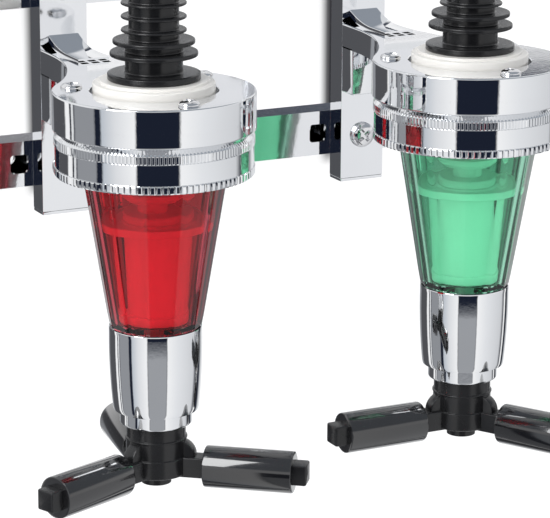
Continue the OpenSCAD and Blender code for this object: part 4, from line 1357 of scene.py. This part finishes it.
    def shoulder(self, index: int) -> Object:
        """Makes the rounded shoulder that stands on an arm's root.

        Args:
            index: number of the arm, from 0 to 2.

        Returns:
            The linked object.
        """
        place = self.along_arm(index)
        radius, reach, half, soft = 5.4, 13.2, 2.17, 0.35
        top, steps = self.arm_half, 36
        rows = []
        for across, inset in ((-half, soft), (-half + soft * 0.3, soft * 0.3), (-half + soft, 0.0),
                              (half - soft, 0.0), (half - soft * 0.3, soft * 0.3), (half, soft)):
            row = []
            for k in range(steps):
                turn = 2 * math.pi * k / steps
                height = top + (radius - inset) * math.sin(turn)
                row.append(place @ Vector((-max(height, 0.0), across,
                                           reach - radius + (radius - inset) * math.cos(turn))))
            rows.append(row)
        return capped(self.name(f"shoulder_{index}"), rows, 35.0)

    def grip(self, index: int) -> Object:
        """Makes one round grip with a square hole.

        Args:
            index: number of the arm, from 0 to 2.

        Returns:
            The linked object.
        """
        place = self.along_arm(index)
        count, power, hole_half = 96, 16, 3.5

        def ring(radius: float, along: float, square: bool) -> list[Vector]:
            """One ring of the grip, round or square."""
            row = []
            for k in range(count):
                turn = 2 * math.pi * (k + 0.5) / count
                cx, cy = math.cos(turn), math.sin(turn)
                norm = (abs(cx) ** power + abs(cy) ** power) ** (1 / power) if square else 1.0
                row.append(place @ Vector((radius * cx / norm, radius * cy / norm, along)))
            return row

        start, stop, outer = 16.5, 46.0, 6.9
        rows = [ring(radius, along, False) for radius, along in (
            (outer - 1.1, start), (outer - 0.4, start + 0.05), (outer - 0.1, start + 0.25),
            (outer, start + 0.7), (outer, stop - 0.6), (outer - 0.1, stop - 0.2),
            (outer - 0.35, stop - 0.05), (outer - 1.0, stop))]
        rows += [ring(hole_half, along, True) for along in (stop, start)]
        return loft(self.name(f"grip_{index}"), rows, True, 35.0)

    def bottle_holder(self) -> None:
        """Makes the slider, the pad and the thumb screw above the bottle."""
        body = self.name("holder")
        slider = softened(self.name("slider_moulded"), self.name("holder_slider"), 0.8, 3)
        self.put(slider, body, Finishes.BLACK, "holder_slider")
        pad = [(18.0, 287.0, 0.4), (18.0, 285.0, 0.5), (23.0, 285.0, 0.8),
               (23.0, 289.7, 1.2), (11.0, 292.0, 0.5), (4.0, 292.0, 0.0), (4.0, 299.0, 0.0),
               (6.0, 299.0, 0.3), (4.0, 303.0, 0.4), (0.01, 303.0, 0.0), (0.01, 287.0, 0.0)]
        self.turned("pad_rubber", "holder_pad", pad, body, Finishes.RUBBER)
        knob = softened(self.name("knob_moulded"), self.name("thumb_screw"), 0.35, 2)
        self.put(knob, self.name("knob"), Finishes.BLACK, "thumb_screw")


# The studio


@dataclass
class Studio:
    """Camera, wall, floor, lamps and surroundings."""

    azimuth: float = 26.5
    elevation: float = 15.25
    roll: float = 0.32
    place: tuple[float, float, float] = (-403.3, -901.8, 195.2)
    lens: float = 186.6
    wall_lift: float = 0.9
    inner_boost: float = 0.45
    lamp_target: tuple[float, float, float] = (0.01, -0.05, -0.03)
    ceiling: Colour = (0.33, 0.36, 0.4)
    WHITE: ClassVar[Colour] = (1.0, 1.0, 1.0)
    PALE: ClassVar[Colour] = (0.86, 0.87, 0.88)
    MID: ClassVar[Colour] = (0.3, 0.31, 0.33)
    DARK: ClassVar[Colour] = (0.012, 0.016, 0.03)
    GREY: ClassVar[Colour] = (0.09, 0.092, 0.1)

    def build(self) -> None:
        """Makes the camera, the stage and the light."""
        self.camera()
        self.surroundings()
        self.wall_and_floor()
        self.lamps()

    def camera(self) -> None:
        """Puts the camera where the photograph's fit gives it."""
        a, e, r = (math.radians(v) for v in (self.azimuth, self.elevation, self.roll))
        look = Vector((math.sin(a) * math.cos(e), math.cos(a) * math.cos(e), -math.sin(e)))
        right = Vector((math.cos(a), -math.sin(a), 0.0))
        up = right.cross(look)
        right_r = right * math.cos(r) + up * math.sin(r)
        up_r = up * math.cos(r) - right * math.sin(r)
        data = bpy.data.cameras.new("photo_camera")
        data.sensor_width, data.lens = 36.0, self.lens
        data.sensor_fit = "HORIZONTAL"
        data.clip_start, data.clip_end = 0.05, 20.0
        camera = linked("photo_camera", data)
        camera.matrix_world = Matrix((
            (right_r.x, up_r.x, -look.x, self.place[0] * MM),
            (right_r.y, up_r.y, -look.y, self.place[1] * MM),
            (right_r.z, up_r.z, -look.z, self.place[2] * MM),
            (0.0, 0.0, 0.0, 1.0)))
        bpy.context.scene.camera = camera
        bpy.context.scene.view_settings.view_transform = "Standard"

    def surroundings(self) -> None:
        """Makes the studio that metal reflects: soft white sides and one dark opening."""
        world = bpy.data.worlds.new("studio")
        bpy.context.scene.world = world
        world.use_nodes = True
        world.node_tree.nodes.clear()
        book = NodeBook(world.node_tree)
        ray = book.add("TexCoord").outputs["Generated"]
        east, north, height = book.add("SeparateXYZ", {0: ray}).outputs
        turn = book.math("ARCTAN2", north, east)
        turn_share = book.math("DIVIDE", turn, 2 * math.pi)
        centred = book.math("ADD", turn_share, (90 + self.azimuth) / 360 + 0.5)
        share = book.math("FRACT", centred)
        low = book.ramp(height, [(0.0, 0.0), (0.05, 0.0), (0.11, 1.0)])
        high = book.ramp(height, [(0.0, 0.0), (0.26, 0.0), (0.36, 1.0)])
        rear = book.ramp(north, [(0.0, 0.0), (0.25, 1.0)])
        mixed = book.blend(low, self.sides(book, share, height), self.behind(book, share, height))
        mixed = book.blend(high, mixed, book.blend(rear, self.ceiling, self.PALE))
        light = book.add("LightPath")
        scattered = book.math("MINIMUM", light.outputs["Diffuse Depth"], 1.0)
        direct = book.math("SUBTRACT", 1.0, scattered)
        clear_ray = light.outputs["Is Transmission Ray"]
        straight = book.math("MULTIPLY", direct, clear_ray)
        mixed = book.blend(straight, mixed, self.through(book, share))
        lighting = book.math("MULTIPLY", book.math("SUBTRACT", 1.0, direct), clear_ray)
        mixed = book.blend(lighting, mixed, self.WHITE)
        power = book.math("ADD", book.math("MULTIPLY", lighting, self.inner_boost), 1.0)
        studio = book.add("Background", {0: mixed, 1: power})
        plain = book.add("Background", {0: (*self.WHITE, 1.0), 1: 1.0})
        out = book.add("MixShader", {0: light.outputs["Is Camera Ray"], 1: studio.outputs[0],
                                     2: plain.outputs[0]})
        book.add("OutputWorld", {"Surface": out.outputs[0]})

    @staticmethod
    def around(book: NodeBook, share: Socket, stops: Sequence[tuple]) -> Socket:
        """Ramp whose places are angles, in degrees, to the right of the camera."""
        return book.ramp(share, [((angle + 180.0) / 360.0, tone) for angle, tone in stops])

    def sides(self, book: NodeBook, share: Socket, height: Socket) -> Socket:
        """Tones of the studio at the height of the object, all the way round.

        Args:
            book: the tree to build in.
            share: socket with the direction, from 0 to 1.
            height: socket with the ray's upward part.

        Returns:
            The colour.
        """
        white, pale, mid, dark, grey = self.WHITE, self.PALE, self.MID, self.DARK, self.GREY
        sides = self.around(book, share, [
            (-180, pale), (-168, pale), (-164, mid), (-151, mid), (-149, grey), (-116, grey),
            (-114.5, white), (-107, white), (-106, dark), (-103.5, dark), (-102.5, pale),
            (-100, pale), (-99, dark), (-96, mid), (-68, mid), (-66.5, dark), (-60.5, dark),
            (-58, (0.56, 0.6, 0.65)), (-42, (0.8, 0.81, 0.83)), (-19, white), (-17, dark),
            (30, dark), (32.5, white), (60, (0.85, 0.86, 0.88)), (110, (0.68, 0.69, 0.71)),
            (120, dark), (124, white),
            (129, white), (131, dark), (139, dark), (144, mid), (156, pale)])
        band = self.around(book, share, [(-180, 0.0), (-19, 0.0), (-16, 1.0), (29, 1.0), (32, 0.0)])
        sink = book.clamp(book.math("MULTIPLY", book.math("ADD", height, 0.265), -22.0))
        return book.blend(book.math("MULTIPLY", band, sink), sides, (0.36, 0.37, 0.39))

    @staticmethod
    def behind(book: NodeBook, share: Socket, height: Socket) -> Socket:
        """Tones that level plates mirror from behind the rack.

        Args:
            book: the tree to build in.
            share: socket with the direction, from 0 to 1.
            height: socket with the ray's upward part.

        Returns:
            The colour.
        """
        edge, raised = 0.1925, 0.2079
        limit = book.ramp(share, [(0.0, edge), (0.0038, edge), (0.0048, raised), (0.03, raised),
                                  (0.04, edge)])
        cap = book.clamp(book.math("MULTIPLY", book.math("SUBTRACT", height, limit), 400.0))
        near = book.ramp(share, [(0.0, 1.0), (0.0102, 1.0), (0.011, 0.0), (0.978, 0.0),
                                 (0.982, 1.0)])
        rail_side = book.ramp(share, [(0.0, 0.0), (0.0106, 0.0), (0.0116, 1.0), (0.03, 1.0),
                                      (0.034, 0.0)])
        tone = book.blend(book.math("MULTIPLY", cap, near), (0.95, 0.95, 0.96), (0.06, 0.07, 0.095))
        return book.blend(book.math("MULTIPLY", cap, rail_side), tone, (0.2, 0.2, 0.215))

    def through(self, book: NodeBook, share: Socket) -> Socket:
        """Tones that clear pieces show, with dark gaps at their sides."""
        return self.around(book, share, [
            (-180, 0.34), (-170, 0.34), (-165, 0.07), (-138, 0.07), (-130, 0.6), (-105, 0.6),
            (-95, 0.1), (95, 0.1), (105, 0.7), (130, 0.7), (138, 0.07), (165, 0.07), (170, 0.34)])

    def paper(self, name: str, lift: float,
              shaded: Sequence[tuple[Vector, Vector]] = ()) -> bpy.types.Material:
        """Makes white paper that only sight lines from its front meet.

        Args:
            name: the material's name.
            lift: extra brightness, from 0 to 1.
            shaded: boxes behind whose left side a narrow soft shade is painted onto the paper by position, in metres;
                no lamp casts it.

        Returns:
            The material.
        """
        material = bpy.data.materials.new(name)
        material.use_nodes = True
        material.node_tree.nodes.clear()
        book = NodeBook(material.node_tree)
        noise = book.add("TexNoise", {"Scale": 3.0, "Detail": 2.0})
        tone = book.ramp(noise.outputs[0], [(0.3, (0.26, 0.26, 0.262)), (0.7, (0.28, 0.28, 0.282))])
        place = book.add("TexCoord").outputs["Object"]
        spot = book.add("SeparateXYZ", {0: place})
        # Painted shade: a soft dark strip painted behind the left side of each box, placed by x and z; it darkens both
        # the glow and the matte tone.
        shade_share = 0.0
        for low, high in shaded:
            width, tall = high.x - low.x, high.z - low.z
            run = book.math("DIVIDE", book.math("SUBTRACT", spot.outputs[0], low.x), width)
            across = book.ramp(run, [(0.04, 0.0), (0.12, 0.12), (0.2, 0.5), (0.28, 0.9),
                                     (0.36, 1.0), (0.7, 1.0), (0.95, 0.0)])
            rise = book.math("DIVIDE", book.math("SUBTRACT", spot.outputs[2], low.z), tall)
            along = book.ramp(rise, [(0.0, 0.0), (0.015, 1.0), (0.985, 1.0), (1.0, 0.0)])
            shade_share = book.math("ADD", shade_share, book.math("MULTIPLY", across, along))
        shade_tone = book.ramp(shade_share, [(0.0, 1.0), (1.0, (0.03, 0.03, 0.035))])
        tone = book.blend(shade_share, tone, (0.008, 0.008, 0.009))
        matte = book.add("BsdfDiffuse", {"Color": tone})
        light = book.add("LightPath")
        scattered = book.math("MINIMUM", light.outputs["Diffuse Depth"], 1.0)
        lighting = book.math("MULTIPLY", light.outputs["Is Transmission Ray"], scattered)
        power = book.math("ADD", book.math("MULTIPLY", lighting, self.inner_boost), lift)
        glow = book.add("Emission", {"Color": shade_tone, "Strength": power})
        seen = book.math("MAXIMUM", light.outputs["Is Camera Ray"], lighting)
        back = book.add("NewGeometry").outputs["Backfacing"]
        front = book.math("MULTIPLY", seen, book.math("SUBTRACT", 1.0, back))
        lit = book.add("AddShader", {0: matte.outputs[0], 1: glow.outputs[0]})
        gone = book.add("BsdfTransparent")
        out = book.add("MixShader", {0: front, 1: gone.outputs[0], 2: lit.outputs[0]})
        book.add("OutputMaterial", {"Surface": out.outputs[0]})
        return material

    def sheet(self, name: str, corners: Sequence[tuple[float, float, float]]) -> Object:
        """Makes one flat face that looks the way its corners turn.

        Args:
            name: the object's name.
            corners: its corners in metres.

        Returns:
            The linked object.
        """
        data = bpy.data.meshes.new(name)
        data.from_pydata(corners, [], [tuple(range(len(corners)))])
        return linked(name, data)

    def wall_and_floor(self) -> None:
        """Makes the pale wall behind the rails and the pale floor far below."""
        wide, drop, lift, back = 1.6, -0.6, 1.4, 0.0006
        wall = self.sheet("wall", [(-wide, back, drop), (wide, back, drop), (wide, back, lift),
                                   (-wide, back, lift)])
        far = 3.0
        floor = self.sheet("floor", [(-far, -far, drop), (far, -far, drop), (far, far, drop),
                                     (-far, far, drop)])
        # The columns' boxes place the painted shade on the wall paper.
        columns = [tuple(Vector(p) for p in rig.box(node))
                   for node in ("column_left", "column_right")]
        wall.data.materials.append(self.paper("wall_paper", self.wall_lift, columns))
        floor.data.materials.append(self.paper("floor_paper", self.wall_lift))
        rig.stage(wall, floor)

    def lamps(self) -> None:
        """Makes a tall softbox on the left, a soft lamp in front and a weak one on the right."""
        for name, spot, size, power in (
                ("softbox_left", (-1.109, -0.529, 0.86), (0.6, 1.1), 15.0),
                ("soft_front", (-0.29, -1.36, 0.4), (0.5, 0.5), 2.0),
                ("soft_right", (0.9, -1.1, 0.9), (0.6, 0.6), 2.0)):
            data = bpy.data.lights.new(name, "AREA")
            data.shape, data.size, data.size_y, data.energy = "RECTANGLE", size[0], size[1], power
            lamp = linked(name, data)
            lamp.location = spot
            aim = Vector(self.lamp_target) - Vector(spot)
            lamp.rotation_euler = aim.to_track_quat("-Z", "Y").to_euler()
            lamp.visible_glossy = name == "softbox_left"


def main() -> None:
    """Builds the rack, both stations and the studio, and writes the two boxes."""
    logging.basicConfig(level=logging.INFO, format="%(message)s")
    cad_box = [list(corner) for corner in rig.bounds()]
    shelf = Finishes()
    rack = Rack(shelf)
    rack.build()
    for side, hub_turn, tint in ((Side.LEFT, 82.0, Finishes.RED),
                                 (Side.RIGHT, 60.0, Finishes.GREEN)):
        Station(side, shelf, rack.station_x[side], hub_turn, tint).build()
    Studio().build()
    for node, target in frame["nodes"].items():
        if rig.alive(target) and not target.hide_render:
            looks = [m.name for m in target.data.materials if m]
            LOG.info("CAD node %s stays, with %s", node, looks)
    looks_box = [list(corner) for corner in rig.bounds()]
    with open("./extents.json", "w") as out:
        json.dump({"cad": cad_box, "looks": looks_box}, out)


if __name__ == "__main__":
    main()
